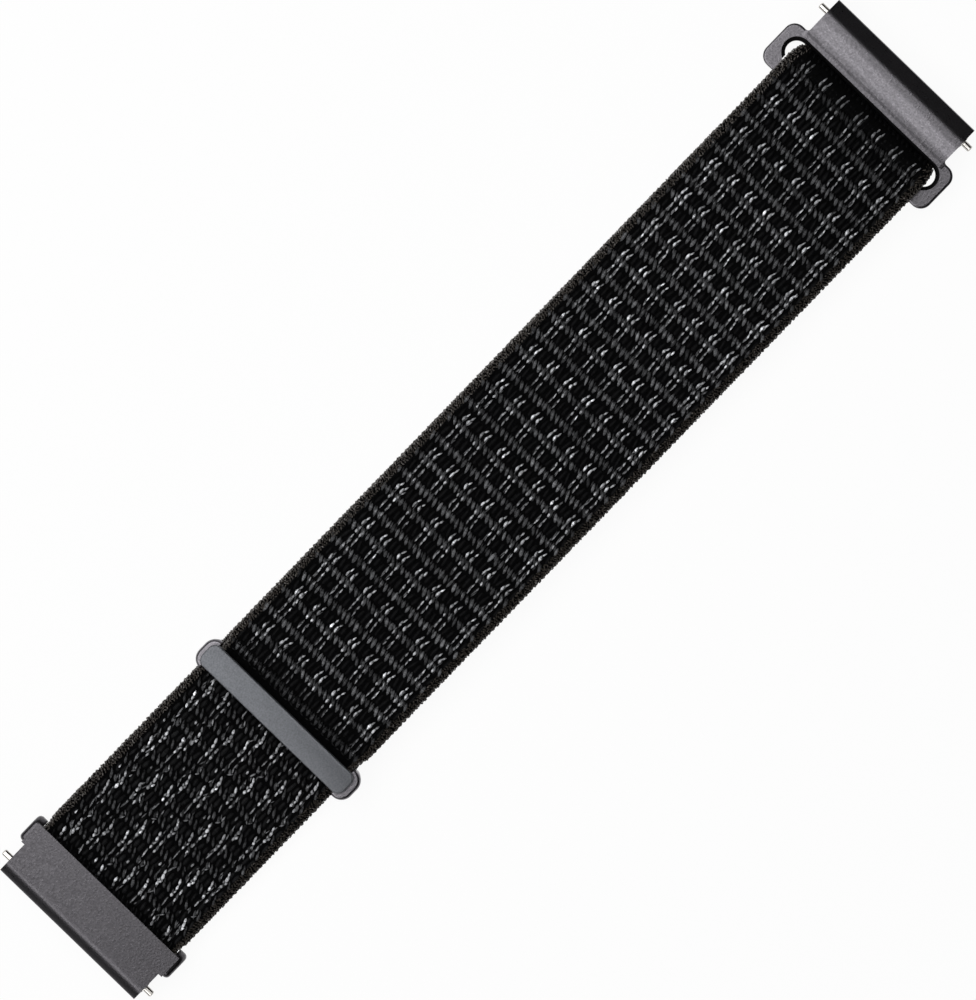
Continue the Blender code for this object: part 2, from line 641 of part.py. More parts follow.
def spring(name, x, z, start, end, outer_radius):
    """A coil of round wire along Y, one unbroken tube."""
    start += SPRING_END_GAP + SPRING_WIRE_RADIUS
    end -= SPRING_END_GAP + SPRING_WIRE_RADIUS
    coil_radius = outer_radius - SPRING_WIRE_RADIUS
    rings = []
    count = SPRING_TURNS * POINTS_PER_TURN
    rise = (end - start) / (2 * math.pi * SPRING_TURNS)
    for i in range(count + 1):
        angle = 2 * math.pi * i / POINTS_PER_TURN
        outward = Vector((math.cos(angle), 0, math.sin(angle)))
        along = Vector((-math.sin(angle) * coil_radius, rise, math.cos(angle) * coil_radius)).normalized()
        sideways = along.cross(outward)
        centre = Vector((x, start + rise * angle, z)) + outward * coil_radius
        ring = []
        for step in range(WIRE_SIDES):
            turn = 2 * math.pi * step / WIRE_SIDES
            ring.append(centre + (outward * math.cos(turn) + sideways * math.sin(turn)) * SPRING_WIRE_RADIUS)
        rings.append(ring)
    gap = 2 * math.pi * rise - 2 * SPRING_WIRE_RADIUS
    print(f"{name}: least gap between curls {gap / MM:.2f} mm")
    return loft(name, rings)


def keeper_frame():
    """A base under the lower run and a cheek past each edge of the webbing."""
    chamfer, top = KEEPER_EDGE_CHAMFER, KEEPER_CHEEK_TOP
    levels = [(0, chamfer), (chamfer, 0), (top - chamfer, 0), (top, chamfer)]
    rings = plate_rings(KEEPER_X, KEEPER_LENGTH, KEEPER_WIDTH, KEEPER_CORNER_RADIUS, levels)
    item = loft("keeper_frame", rings)
    y = CHANNEL_WIDTH / 2
    reach = KEEPER_LENGTH / 2 + OVERRUN
    along = (KEEPER_X - reach, KEEPER_X + reach)
    channel = block("keeper_channel", along, (-y, y), (KEEPER_BASE_THICKNESS, top + OVERRUN))
    combine(item, channel, "DIFFERENCE")
    reach = KEEPER_WIDTH / 2 + OVERRUN
    hole = KEEPER_BAR_RADIUS + PIN_HOLE_CLEARANCE
    bar_hole = turned("keeper_bar_hole", KEEPER_X, KEEPER_BAR_Z, [(-reach, hole), (reach, hole)])
    combine(item, bar_hole, "DIFFERENCE")
    return item


def keeper_face_plate():
    low = KEEPER_CHEEK_TOP + FACE_GAP
    top = low + FACE_THICKNESS
    levels = [(low, FACE_EDGE_CHAMFER), (low + FACE_EDGE_CHAMFER, 0)]
    levels += [(top - FACE_EDGE_CHAMFER, 0), (top, FACE_EDGE_CHAMFER)]
    rings = plate_rings(KEEPER_X, FACE_LENGTH, FACE_WIDTH, FACE_CORNER_RADIUS, levels)
    return loft("keeper_face_plate", rings)


def main():
    clear_scene()
    webbing = finish("webbing_black_silver", (0.022, 0.023, 0.026), 0.9, 0.0)
    thread = finish("thread_black", (0.012, 0.012, 0.013), 0.85, 0.0)
    hooks = finish("hook_tape_black", (0.015, 0.015, 0.016), 0.7, 0.0)
    gunmetal = finish("blasted_gunmetal", (0.115, 0.108, 0.118), 0.55, 0.85)
    face_metal = finish("satin_grey_metal", (0.2, 0.205, 0.225), 0.5, 0.8)
    steel = finish("steel", (0.55, 0.55, 0.56), 0.25, 1.0)

    band = pivot("band", (LEFT_EDGE_X, 0, 0))
    seat(fixed_end(), band, webbing)
    seat(lower_run(), band, webbing)
    seat(fixed_seam(), band, thread)

    right_end = pivot("right_end", (FOLD_START_X, 0, 0), band)
    seat(fold(), right_end, webbing)
    seat(upper_run(), right_end, webbing)

    keeper = pivot("keeper", (KEEPER_X, 0, 0), right_end)
    seat(keeper_frame(), keeper, gunmetal)
    seat(keeper_face_plate(), keeper, face_metal)
    bar_length = KEEPER_WIDTH - 2 * PIN_END_INSET
    seat(plain_pin("keeper_bar", KEEPER_X, KEEPER_BAR_Z, KEEPER_BAR_RADIUS, bar_length), keeper, steel)
    seat(free_end(), keeper, webbing)
    seat(free_seam(), keeper, thread)
    seat(hook_patch(), keeper, hooks)

    left = pivot("left_swing", (LOOP_PIN_X, 0, LOOP_PIN_Z), band)
    seat(left_adapter(), left, gunmetal)
    pin_length = CHEEK_OUTER_WIDTH - 2 * PIN_END_INSET
    seat(plain_pin("left_loop_pin", LOOP_PIN_X, LOOP_PIN_Z, LOOP_PIN_RADIUS, pin_length), left, steel)
    right = pivot("right_swing", (OUTER_BAR_X, 0, FRAME_Z), right_end)
    seat(right_adapter(), right, gunmetal)

    barrels = (("left", LEFT_BAR_X, LEFT_BAR_Z, left), ("right", RIGHT_BAR_X, RIGHT_BAR_Z, right))
    for name, x, z, carrier in barrels:
        release = pivot(f"{name}_release", (x, knob_y(), z), carrier)
        tube, fixed, pin, knob, coil = spring_bar(name, x, z)
        for piece in (tube, fixed, coil):
            seat(piece, carrier, steel)
        for piece in (pin, knob):
            seat(piece, release, steel)


main()
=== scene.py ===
"""Looks for the packed watch strap: woven nylon with silver flecks, blasted metal and steel."""

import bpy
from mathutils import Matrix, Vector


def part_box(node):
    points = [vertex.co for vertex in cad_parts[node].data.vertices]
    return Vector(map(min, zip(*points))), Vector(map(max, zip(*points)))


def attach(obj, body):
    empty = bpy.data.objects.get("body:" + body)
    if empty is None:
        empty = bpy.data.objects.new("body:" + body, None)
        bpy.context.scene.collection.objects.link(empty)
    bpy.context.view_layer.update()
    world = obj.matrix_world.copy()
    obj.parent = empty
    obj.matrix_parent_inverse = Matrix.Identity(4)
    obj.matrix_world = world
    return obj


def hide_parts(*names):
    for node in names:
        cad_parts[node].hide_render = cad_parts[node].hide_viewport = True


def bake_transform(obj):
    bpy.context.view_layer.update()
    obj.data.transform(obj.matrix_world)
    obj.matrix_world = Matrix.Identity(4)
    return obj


bl_info = {
    "name": "Woven watch strap",
    "version": (1, 0, 0),
    "blender": (4, 5, 0),
    "location": "3D View > Sidebar > Watch strap",
    "description": "Weaves, machines and lights a hook-and-loop watch strap around its packed solids",
    "category": "Object",
}

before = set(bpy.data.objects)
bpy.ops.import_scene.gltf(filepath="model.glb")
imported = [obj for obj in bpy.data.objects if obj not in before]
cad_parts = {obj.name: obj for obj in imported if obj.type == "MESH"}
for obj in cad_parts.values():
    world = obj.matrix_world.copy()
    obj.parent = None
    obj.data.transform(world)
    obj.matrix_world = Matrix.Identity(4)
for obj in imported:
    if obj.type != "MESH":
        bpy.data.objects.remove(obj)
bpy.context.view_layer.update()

import math

import bmesh
import bpy
import numpy as np
from mathutils import Matrix, Vector

MM = 0.001

# The strap's own places and sizes, in millimetres, as in the solids
HALF_WIDTH = 10.9
SEWN_HALF_WIDTH = 10.5
FULL = 1.2
SEWN = 0.6
PIN = (-64.4, 1.55)
PIN_LOOP = 0.86
PIN_LOOP_THICK = 0.5
PLATE_EDGE_X = -63.23
FIXED_TAIL_END_X = -56.8
FIXED_END_X = -55.0
KEEPER_X = -34.9
KEEPER_BAR_Z = 3.2
KEEPER_LOOP = 0.77
KEEPER_ASIDE = -0.30
FREE_TAIL_END_X = -26.0
FREE_END_X = 8.1
FOLD_START_X = 50.32
FOLD_CENTRE = (61.77, 2.2)
FOLD_MIDDLE = 1.6
FOLD_SWELL = 0.43
JOIN = 0.3
RUN_LIFT = 0.75
UPPER_Z = 3.35
FOLD_TOP_Z = 3.8
SLOT = (60.94, 64.54)
FRAME_EDGE_X = 59.30
FRAME_SIZE = (6.05, 26.3)
SLOT_SIZE = (3.6, 24.1)
BARREL = (68.6, 1.9)
STRAP_END = 70.5
LEFT_HEIGHT = 3.75
LEFT_BAR = (-68.76, 1.875)
WING_START_X = -66.2
CHEEK_END_X = -62.6
KEEPER_SIZE = (4.1, 24.55)
FACE_PLATE_SIZE = (3.1, 22.95)
HOOK_STEP = 0.8


# ---------------------------------------------------------------- settings


class WebbingSettings(bpy.types.PropertyGroup):
    """Sizes and colours of the woven nylon."""

    line_pitch: bpy.props.FloatProperty(
        name="Warp pitch", description="From one lengthwise line of yarn to the next",
        default=0.7075 * MM, unit="LENGTH")
    open_pitch: bpy.props.FloatProperty(
        name="Open rib pitch", description="From rib to rib on the free end",
        default=2.802 * MM, unit="LENGTH")
    tight_pitch: bpy.props.FloatProperty(
        name="Tight rib pitch", description="From rib to rib near the fold",
        default=2.462 * MM, unit="LENGTH")
    face_pitch: bpy.props.FloatProperty(
        name="Lower rib pitch", description="From rib to rib on the lower run's upper face",
        default=2.48 * MM, unit="LENGTH")
    ground: bpy.props.FloatVectorProperty(
        name="Ground", description="Colour of the black yarn",
        default=(0.0036, 0.0036, 0.0040), subtype="COLOR", size=3, min=0, max=1)
    silver: bpy.props.FloatVectorProperty(
        name="Silver", description="Colour of the reflective flecks",
        default=(0.68, 0.69, 0.72), subtype="COLOR", size=3, min=0, max=1)
    edge: bpy.props.FloatVectorProperty(
        name="Selvedge", description="Colour of the yarn that binds the edges",
        default=(0.070, 0.060, 0.050), subtype="COLOR", size=3, min=0, max=1)


class MetalSettings(bpy.types.PropertyGroup):
    """Colours and grain of the metal pieces."""

    gunmetal: bpy.props.FloatVectorProperty(
        name="Gunmetal", description="Colour of the lug adapters and the keeper's frame",
        default=(0.117, 0.112, 0.121), subtype="COLOR", size=3, min=0, max=1)
    face: bpy.props.FloatVectorProperty(
        name="Keeper plate", description="Colour of the plate on the keeper",
        default=(0.146, 0.151, 0.163), subtype="COLOR", size=3, min=0, max=1)
    steel: bpy.props.FloatVectorProperty(
        name="Steel", description="Colour of pins, bars and springs",
        default=(0.60, 0.58, 0.55), subtype="COLOR", size=3, min=0, max=1)
    grain: bpy.props.FloatProperty(
        name="Grain", description="Size of one bump of the blasted finish",
        default=0.24 * MM, unit="LENGTH")


class StageSettings(bpy.types.PropertyGroup):
    """Camera and light."""

    distance: bpy.props.FloatProperty(
        name="Camera distance", description="From the strap's middle to the camera",
        default=600 * MM, unit="LENGTH")
    lens: bpy.props.FloatProperty(
        name="Focal length", description="Of the camera, in millimetres on a 36 mm sensor",
        default=185.26)
    tilt: bpy.props.FloatProperty(
        name="Tilt", description="How far the camera leans towards the slotted end",
        default=math.radians(2.94), subtype="ANGLE")
    roll: bpy.props.FloatProperty(
        name="Roll", description="Angle of the strap above the picture's horizontal",
        default=math.radians(46.02), subtype="ANGLE")
    overhead: bpy.props.FloatProperty(
        name="Overhead softbox", description="Radiance of the softbox above", default=2.7, min=0)
    key: bpy.props.FloatProperty(
        name="Side softbox", description="Radiance of the softbox at the fixed end's side", default=2.9, min=0)
    fill: bpy.props.FloatProperty(
        name="Fill", description="Radiance of the room above the horizon", default=0.018, min=0)


# ---------------------------------------------------------------- webbing routes


def ease(share):
    """From 0 to 1 with level ends."""
    return (1 - np.cos(np.pi * np.clip(share, 0, 1))) / 2


def between(x, start, length, low, high):
    return low + (high - low) * ease((x - start) / length)


def lower_z(x):
    """Middle height of the lower run."""
    return between(x, FIXED_TAIL_END_X, 5.4, 1.70, 1.35) - between(x, 4.1, 26.0, 0, RUN_LIFT)


def upper_z(x):
    """Middle height of the upper run."""
    return between(x, 46.02, 12.5, UPPER_Z, FOLD_TOP_Z)


def arc(centre, radius, start_deg, end_deg, steps):
    angles = np.radians(np.linspace(start_deg, end_deg, steps))
    return centre[0] + radius * np.cos(angles), centre[1] + radius * np.sin(angles)


class Route:
    """The webbing's middle line in x and z with its thickness; its face is on the line's left."""

    STEP = 0.1

    def __init__(self, legs, half_width, aside=0.0):
        self.aside = aside
        x, z, t = (np.concatenate([leg[k] for leg in legs]) for k in range(3))
        keep = np.concatenate(([True], np.hypot(np.diff(x), np.diff(z)) > 1e-6))
        x, z, t = x[keep], z[keep], t[keep]
        s = np.concatenate(([0], np.cumsum(np.hypot(np.diff(x), np.diff(z)))))
        self.s = np.arange(0, s[-1], self.STEP)
        self.x, self.z, self.t = (np.interp(self.s, s, v) for v in (x, z, t))
        dx, dz = np.gradient(self.x), np.gradient(self.z)
        size = np.hypot(dx, dz)
        self.nx, self.nz = -dz / size, dx / size
        self.half = half_width(self.x)
        self.turn = int(np.argmax(self.x))

    def s_at(self, x, leg="top"):
        """Where the line passes an x, on the leg that runs to or comes back from its right end."""
        if leg == "back":
            part = slice(self.turn, None)
            return float(np.interp(-x, -self.x[part], self.s[part]))
        start = int(np.argmin(self.x[: self.turn]))
        part = slice(start, self.turn + 1)
        return float(np.interp(x, self.x[part], self.s[part]))

    def at(self, s, q, h):
        """Points at a length along, a place round the cross-section and a height off the surface."""
        x, z, nx, nz, t, half = (
            np.interp(s, self.s, v) for v in (self.x, self.z, self.nx, self.nz, self.t, self.half))
        round_ = t / 2
        flat = half - round_
        turn = np.clip((np.abs(q) - flat) / round_, 0, np.pi)
        reach = round_ + h
        y = self.aside + np.sign(q) * (np.minimum(np.abs(q), flat) + reach * np.sin(turn))
        off = reach * np.cos(turn)
        return np.stack([x + nx * off, y, z + nz * off], -1)


def straight(x0, x1, height, thickness):
    x = np.linspace(x0, x1, max(2, int(abs(x1 - x0) / 0.05)))
    return x, height(x) + 0 * x, thickness(x) + 0 * x


def lower_route():
    """Sewn tail, loop round the left pin, lower run and the fold's lower leg; face up on the run."""

    def top(x):
        share = ease((x - PLATE_EDGE_X) / 4.0)
        return lower_z(x) + (PIN[1] + PIN_LOOP - 1.70) * (1 - share)

    def thick(x):
        return PIN_LOOP_THICK + (FULL - PIN_LOOP_THICK) * ease((x - PLATE_EDGE_X) / 4.0)

    loop = arc(PIN, PIN_LOOP, 270, 90, 40)
    legs = [straight(FIXED_TAIL_END_X, PIN[0], lambda x: PIN[1] - PIN_LOOP, lambda x: PIN_LOOP_THICK)]
    legs.append((*loop, np.full(40, PIN_LOOP_THICK)))
    legs.append(straight(PIN[0], FIXED_END_X, top, thick))
    legs.append(straight(FIXED_END_X, FOLD_CENTRE[0], lower_z, lambda x: FULL))
    return Route(legs, lambda x: between(x, -62.4, 0.9, SEWN_HALF_WIDTH + 0.18, HALF_WIDTH - 0.05))


def upper_route():
    """Tail and loop at the keeper, upper run, round the fold and back under the lower run."""

    def share(x):
        return ease((x - (KEEPER_X + 0.5)) / 8.4)

    high = KEEPER_BAR_Z + KEEPER_LOOP
    loop = arc((KEEPER_X, KEEPER_BAR_Z), KEEPER_LOOP, 270, 90, 40)
    fold = arc(FOLD_CENTRE, FOLD_MIDDLE, 90, -90, 60)
    swell = FULL + FOLD_SWELL * np.sin(np.linspace(0, np.pi, 60)) ** 0.7
    legs = [straight(FREE_TAIL_END_X, KEEPER_X, lambda x: high - 2 * KEEPER_LOOP, lambda x: SEWN)]
    legs.append((*loop, np.full(40, SEWN)))
    legs.append(straight(KEEPER_X, FREE_END_X, lambda x: high + (UPPER_Z - high) * share(x),
                         lambda x: SEWN + (FULL - SEWN) * share(x)))
    legs.append(straight(FREE_END_X, FOLD_CENTRE[0], upper_z, lambda x: FULL))
    legs.append((*fold, swell))
    legs.append(straight(FOLD_CENTRE[0], FIXED_TAIL_END_X - 0.7, lower_z, lambda x: FULL))

    def half(x):
        return between(x, KEEPER_X + 2.2, 2.0, SEWN_HALF_WIDTH, HALF_WIDTH) - between(x, 61.9, 2.0, 0, 0.36)

    return Route(legs, half, -0.14)


# ---------------------------------------------------------------- strands of yarn


class Strands:
    """Many short strands of yarn, gathered and then made into one mesh."""

    def __init__(self, seed):
        self.rows = []
        self.random = np.random.default_rng(seed)

    def add(self, s, q, length, width, tone, slant=0.0, bow=0.0, crest=-0.06, seat=-0.24,
            height=0.12, edge=0.0, loose=1.0):
        """Length and width in mm, tone from 0, black, to 1, silver; bow bends it sideways."""
        r = self.random
        self.rows.append((
            s + r.normal(0, 0.05) * loose, q + r.normal(0, 0.025) * loose,
            length * (1 + r.normal(0, 0.10) * loose), width * (1 + r.normal(0, 0.10) * loose),
            max(0.0, tone * (1 + r.normal(0, 0.20))), math.radians(slant + r.normal(0, 6.0) * loose),
            bow, crest + r.normal(0, 0.012), seat, height, edge, r.random()))


def strand_form(stations, sides):
    """One strand's vertices as (u, side, up), its faces, and a flat map of each face's corners."""
    verts, cells = [], []
    inner = stations[1:-1]
    for u in inner:
        radius = (1 - abs(u) ** 1.7) ** 0.62
        for k in range(sides):
            angle = 2 * math.pi * (k + 0.5) / sides
            verts.append((u, radius * math.cos(angle), radius * math.sin(angle)))
    left, right = len(verts), len(verts) + 1
    verts += [(-1, 0, 0), (1, 0, 0)]
    quads, tris = [], []
    for i in range(len(inner) - 1):
        for k in range(sides):
            n = (k + 1) % sides
            a, b = i * sides + k, i * sides + n
            quads.append((a, a + sides, b + sides, b))
            cells.append([(inner[i], k), (inner[i + 1], k), (inner[i + 1], k + 1), (inner[i], k + 1)])
    last = (len(inner) - 1) * sides
    for k in range(sides):
        n = (k + 1) % sides
        tris.append((left, k, n))
        cells.append([(-1, k + 0.5), (inner[0], k), (inner[0], k + 1)])
        tris.append((right, last + n, last + k))
        cells.append([(1, k + 0.5), (inner[-1], k + 1), (inner[-1], k)])
    quad_map = [((u + 1) / 2, k / sides) for cell in cells[: len(quads)] for u, k in cell]
    tri_map = [((u + 1) / 2, k / sides) for cell in cells[len(quads):] for u, k in cell]
    return np.array(verts), np.array(quads), np.array(tris), np.array(quad_map), np.array(tri_map)


FINE_FORM = strand_form((-1, -0.88, -0.5, 0, 0.5, 0.88, 1), 6)
PLAIN_FORM = strand_form((-1, -0.7, 0, 0.7, 1), 5)


def yarn_colours(tone, edge, shade):
    """Vertex colours from tone, with painted shade along each strand."""
    look = bpy.context.scene.strap_webbing
    ground, silver, border = (np.array(c) for c in (look.ground, look.silver, look.edge))
    base = ground + (silver - ground) * (tone ** 2)[..., None]
    base = base * (1 - edge[..., None]) + border * edge[..., None] * (0.45 + tone[..., None])
    colour = base * shade[..., None]
    return np.concatenate([colour, np.ones((*colour.shape[:-1], 1))], -1)


def new_object(name, data):
    item = bpy.data.objects.new(name, data)
    bpy.context.scene.collection.objects.link(item)
    return item


def make_mesh(name, points, quads, tris, corners, colours, strand):
    """A mesh from arrays: points in mm, faces, a flat map, and the yarn's colour and strand values."""
    mesh = bpy.data.meshes.new(name)
    mesh.vertices.add(len(points))
    mesh.vertices.foreach_set("co", (points * MM).astype(np.float32).ravel())
    loops = np.concatenate([quads.ravel(), tris.ravel()]).astype(np.int32)
    totals = np.concatenate([np.full(len(quads), 4), np.full(len(tris), 3)]).astype(np.int32)
    mesh.loops.add(len(loops))
    mesh.loops.foreach_set("vertex_index", loops)
    mesh.polygons.add(len(totals))
    mesh.polygons.foreach_set("loop_start", np.concatenate(([0], np.cumsum(totals)[:-1])).astype(np.int32))
    mesh.polygons.foreach_set("loop_total", totals)
    mesh.update(calc_edges=True)
    mesh.uv_layers.new(name="OFBake").uv.foreach_set("vector", corners.astype(np.float32).ravel())
    yarn = mesh.attributes.new("yarn", "FLOAT_COLOR", "POINT")
    yarn.data.foreach_set("color", colours.astype(np.float32).ravel())
    held = mesh.attributes.new("strand", "FLOAT_VECTOR", "POINT")
    held.data.foreach_set("vector", strand.astype(np.float32).ravel())
    mesh.polygons.foreach_set("use_smooth", np.ones(len(totals), bool))
    mesh.update()
    return new_object(name, mesh)


def weave_mesh(name, route, strands, form):
    """One mesh of all gathered strands, laid on a route."""
    verts, quads, tris, quad_map, tri_map = form
    rows = np.array(strands.rows)
    s, q, length, width, tone, slant, bow, crest, seat, height, edge, seed = (
        rows[:, k][:, None] for k in range(rows.shape[1]))
    u, side, up = (verts[:, k][None] for k in range(3))
    along = u * length / 2
    across = bow * (1 - u ** 2) + side * width / 2
    place_s = s + along * np.cos(slant) - across * np.sin(slant)
    place_q = q + along * np.sin(slant) + across * np.cos(slant)
    lift = seat + (crest - seat) * (1 - u ** 2) + up * height
    points = route.at(place_s, place_q, lift).reshape(-1, 3)
    n, per = len(rows), len(verts)
    start = (np.arange(n) * per)[:, None, None]
    all_quads = (quads[None] + start).reshape(-1, 4)
    all_tris = (tris[None] + start).reshape(-1, 3)
    grid = math.ceil(math.sqrt(n))
    cell = np.stack([np.arange(n) % grid, np.arange(n) // grid], -1)[:, None, :]
    inner = [(cell + 0.08 + 0.84 * part[None]) / grid for part in (quad_map, tri_map)]
    corners = np.concatenate([part.reshape(-1, 2) for part in inner])
    # Painted shade: darker towards each strand's ends and on its underside
    shade = (0.45 + 0.55 * (1 - u ** 2)) * (0.72 + 0.28 * up)
    colours = yarn_colours(tone + 0 * u, edge + 0 * u, shade + 0 * tone).reshape(-1, 4)
    strand = np.stack([along + 0 * seed, (np.arctan2(up, side) / math.pi) + 0 * seed, seed * 90 + 0 * u], -1)
    return make_mesh(name, points, all_quads, all_tris, corners, colours, strand.reshape(-1, 3))


def ground_mesh(name, route, s0, s1, depth=lambda s: 0.2):
    """The closed strip of dark ground weave that the strands stand on."""
    s = np.linspace(s0, s1, max(3, int((s1 - s0) / 0.5)))
    thick = np.interp(s, route.s, route.t)
    half = np.interp(s, route.s, route.half)
    rings, round_steps, flat_steps = [], 6, 12
    for si, ti, wi in zip(s, thick, half):
        flat = wi - ti / 2
        sunk = min(depth(si), ti / 4)
        top = np.linspace(-flat, flat, flat_steps)
        edge = flat + ti / 2 * np.linspace(0, math.pi, round_steps)
        q = np.concatenate([top, edge[1:], -edge[::-1][:-1]])
        out = np.sin(np.clip((np.abs(q) - flat) / (ti / 2), 0, math.pi))
        rings.append(route.at(np.full(len(q), si), q, -sunk + (sunk - 0.06) * out))
    per = len(rings[0])
    # The last ring point of one edge and the first of the other are the underside's two borders
    points = np.concatenate(rings)
    quads, corners = [], []
    for i in range(len(rings) - 1):
        for k in range(per):
            n = (k + 1) % per
            quads.append((i * per + k, i * per + n, (i + 1) * per + n, (i + 1) * per + k))
            a, b = k / per, (k + 1) / per
            c, d = i / (len(rings) - 1), (i + 1) / (len(rings) - 1)
            corners += [(c, a), (c, b), (d, b), (d, a)]
    mid = [len(points), len(points) + 1]
    points = np.concatenate([points, rings[0].mean(0)[None], rings[-1].mean(0)[None]])
    tris = []
    for k in range(per):
        n = (k + 1) % per
        tris += [(mid[0], n, k), (mid[1], (len(rings) - 1) * per + k, (len(rings) - 1) * per + n)]
        corners += [(0, 0.5), (0, (k + 1) / per), (0, k / per), (1, 0.5), (1, k / per), (1, (k + 1) / per)]
    q_all = np.concatenate([np.tile(np.linspace(0, 24, per), len(rings)), [0, 0]])
    s_all = np.concatenate([np.repeat(s, per), [s0, s1]])
    strand = np.stack([s_all, q_all, np.full(len(q_all), 7.0)], -1)
    tone = np.full(len(q_all), 0.05)
    colours = yarn_colours(tone, np.zeros(len(q_all)), np.full(len(q_all), 0.5))
    item = make_mesh(name, points, np.array(quads), np.array(tris), np.array(corners), colours, strand)
    item.data.set_sharp_from_angle(angle=math.radians(50))
    return item


# ---------------------------------------------------------------- the two faces of the weave

SILVER_LINES = (0, 3)
RIM_LINES = (12, 11, -12, -13)
LAST_LINE = 13
UPPER_SHIFT = -0.32
LOWER_SHIFT = -0.23
# How far out the lines go on each face, and from where the upper face's grey strokes are weaker
UPPER_REACH, LOWER_REACH = 10.25, 10.0
UPPER_PALES = 9.3
# First rib on each face, and where the upper face's spacing changes
FIRST_UPPER_RIB_X, FIRST_LOWER_RIB_X = -31.94, -60.85
WIDE_RIBS_END_X, MIXED_RIBS_END_X, FOLD_RIBS_X = 17.5, 22.5, 47
# On each of the two kinds of rib: share of the rib, aside, length, width, tone, slant, bow, crest, seat
SILVER_STROKES = (
    ((0.36, -0.07, 0.85, 0.18, 0.70, 4, 0, 0.0, -0.18), (0.60, -0.02, 0.75, 0.23, 0.90, 6, 0, 0.0, -0.18),
     (0.44, 0.05, 1.2, 0.15, 0.42, 6, 0, -0.04, -0.18)),
    ((-0.10, 0.08, 0.66, 0.29, 0.90, 10, 0, 0.05, -0.1), (0.36, 0.09, 0.85, 0.33, 1.05, 5, 0.05, 0.05, -0.14),
     (0.58, -0.01, 0.70, 0.24, 0.95, -12, 0, 0.03, -0.16), (0.30, -0.04, 1.2, 0.15, 0.40, 0, 0, -0.03, -0.18)),
)
# Grey strokes on each kind of rib: length, tone, slant
GREY_STROKES = ((1.28, 0.44, 15), (1.18, 0.41, 22))
# On each of a row's three ribs in turn: along, line, aside, length, width, tone, slant, crest, seat;
# a tone in brackets is drawn from
CLUSTERS = (
    ((-0.50, 0, 0.02, 0.70, 0.32, 1.0, 8, 0.05, -0.1), (0.02, 0, -0.17, 0.55, 0.25, 0.85, -12, 0.03, -0.1),
     (0.08, 0, 0.12, 0.5, 0.2, 0.60, 20, 0.02, -0.1), (0.60, 0, 0.03, 0.78, 0.33, 1.0, 14, 0.06, -0.1),
     (1.20, 0, 0.24, 0.75, 0.25, 0.92, 24, 0.04, -0.12), (1.43, 1, 0.66, 0.6, 0.22, (0.3, 0.6, 0.8), 8, 0.02, -0.24),
     (0.2, 1, 0, 0.9, 0.18, 0.45, 20, -0.06, -0.24)),
    ((-0.25, 0, -0.15, 0.7, 0.22, 0.50, -35, -0.06, -0.24), (0.35, 0, -0.10, 0.8, 0.22, 0.52, 38, -0.06, -0.24),
     (1.1, 1, -0.02, 1.3, 0.17, 0.62, 5, 0.0, -0.24), (-0.1, 1, 0, 0.8, 0.2, 0.46, 24, -0.06, -0.24)),
    ((-0.40, 0, 0, 0.70, 0.24, 0.74, 6, 0.02, -0.24), (0.72, 0, 0.05, 0.80, 0.25, 0.78, 10, 0.02, -0.24),
     (-0.30, 1, -0.02, 0.62, 0.28, 0.90, 10, 0.05, -0.1), (0.32, 1, -0.10, 0.55, 0.22, 0.70, -8, 0.03, -0.1),
     (0.82, 1, 0.06, 0.70, 0.29, 0.96, 14, 0.05, -0.1), (1.42, 1, 0.24, 0.80, 0.29, 1.0, 20, 0.05, -0.1)),
)


def line_place(line):
    pitch = bpy.context.scene.strap_webbing.line_pitch / MM
    return (line + 0.5) * pitch


def upper_ribs(route):
    """Ribs of the free end's face, as (s, kind): wide spacing, then the fold's tighter one."""
    look = bpy.context.scene.strap_webbing
    wide, tight = look.open_pitch / MM, look.tight_pitch / MM
    s, kind, ribs = route.s_at(FIRST_UPPER_RIB_X) - wide, 1, []
    fold = route.s_at(FOLD_CENTRE[0])
    while s < route.s[-1] + 2 * tight:
        ribs.append((s, kind))
        x = float(np.interp(s, route.s, route.x))
        if s > fold or x > FOLD_RIBS_X:
            s += tight + 0.06
        else:
            s += wide if x < WIDE_RIBS_END_X else (wide + tight) / 2 if x < MIXED_RIBS_END_X else tight
        kind = 1 - kind
    return ribs


def weave_upper(strands, ribs, s0, s1, dim=lambda s: 1.0):
    """Ribs of grey strokes with a pair of silver dashes, blobs and arches on every fourth line."""
    r = strands.random
    for i, (s, kind) in enumerate(ribs[:-1]):
        pitch = ribs[i + 1][0] - s
        for line in range(-LAST_LINE - 1, LAST_LINE + 3):
            q = line_place(line) + UPPER_SHIFT
            if abs(q) > UPPER_REACH:
                continue
            silver = line % 4 in SILVER_LINES
            fade = dim(s)
            weak = 0.85 if abs(q) > UPPER_PALES else 1.0
            if s0 <= s < s1:
                length, tone, slant = GREY_STROKES[kind]
                tone *= 0.85 if silver else 1.0
                strands.add(s, q, length, 0.46, tone * fade * weak, slant, crest=-0.03, height=0.13)
                strands.add(s + 0.2, q + 0.35, 0.8, 0.26, 0.26 * fade * weak, slant + 8, crest=-0.08)
                if silver and r.random() < 0.55:
                    strands.add(s + 0.05, q + 0.12, 0.8, 0.17, 0.46 * fade, 14, crest=0.02)
            middle = s + pitch / 2
            if not s0 <= middle < s1:
                continue
            strands.add(middle, q, pitch * 0.74, 0.55, 0.04, 0, crest=-0.19, seat=-0.36)
            if not silver:
                continue
            if line in RIM_LINES:
                strands.add(s + 0.1 + 0.2 * r.normal(), q, 0.8, 0.26, 0.7 * fade, 10, crest=0.05)
                strands.add(s + 0.9 + 0.2 * r.normal(), q + 0.1 * r.normal(), 0.7, 0.20, 0.6 * fade, -8, crest=0.05)
            for share, aside, length, width, tone, *form in SILVER_STROKES[kind]:
                strands.add(s + share * pitch, q + aside, length, width, tone * fade, *form)


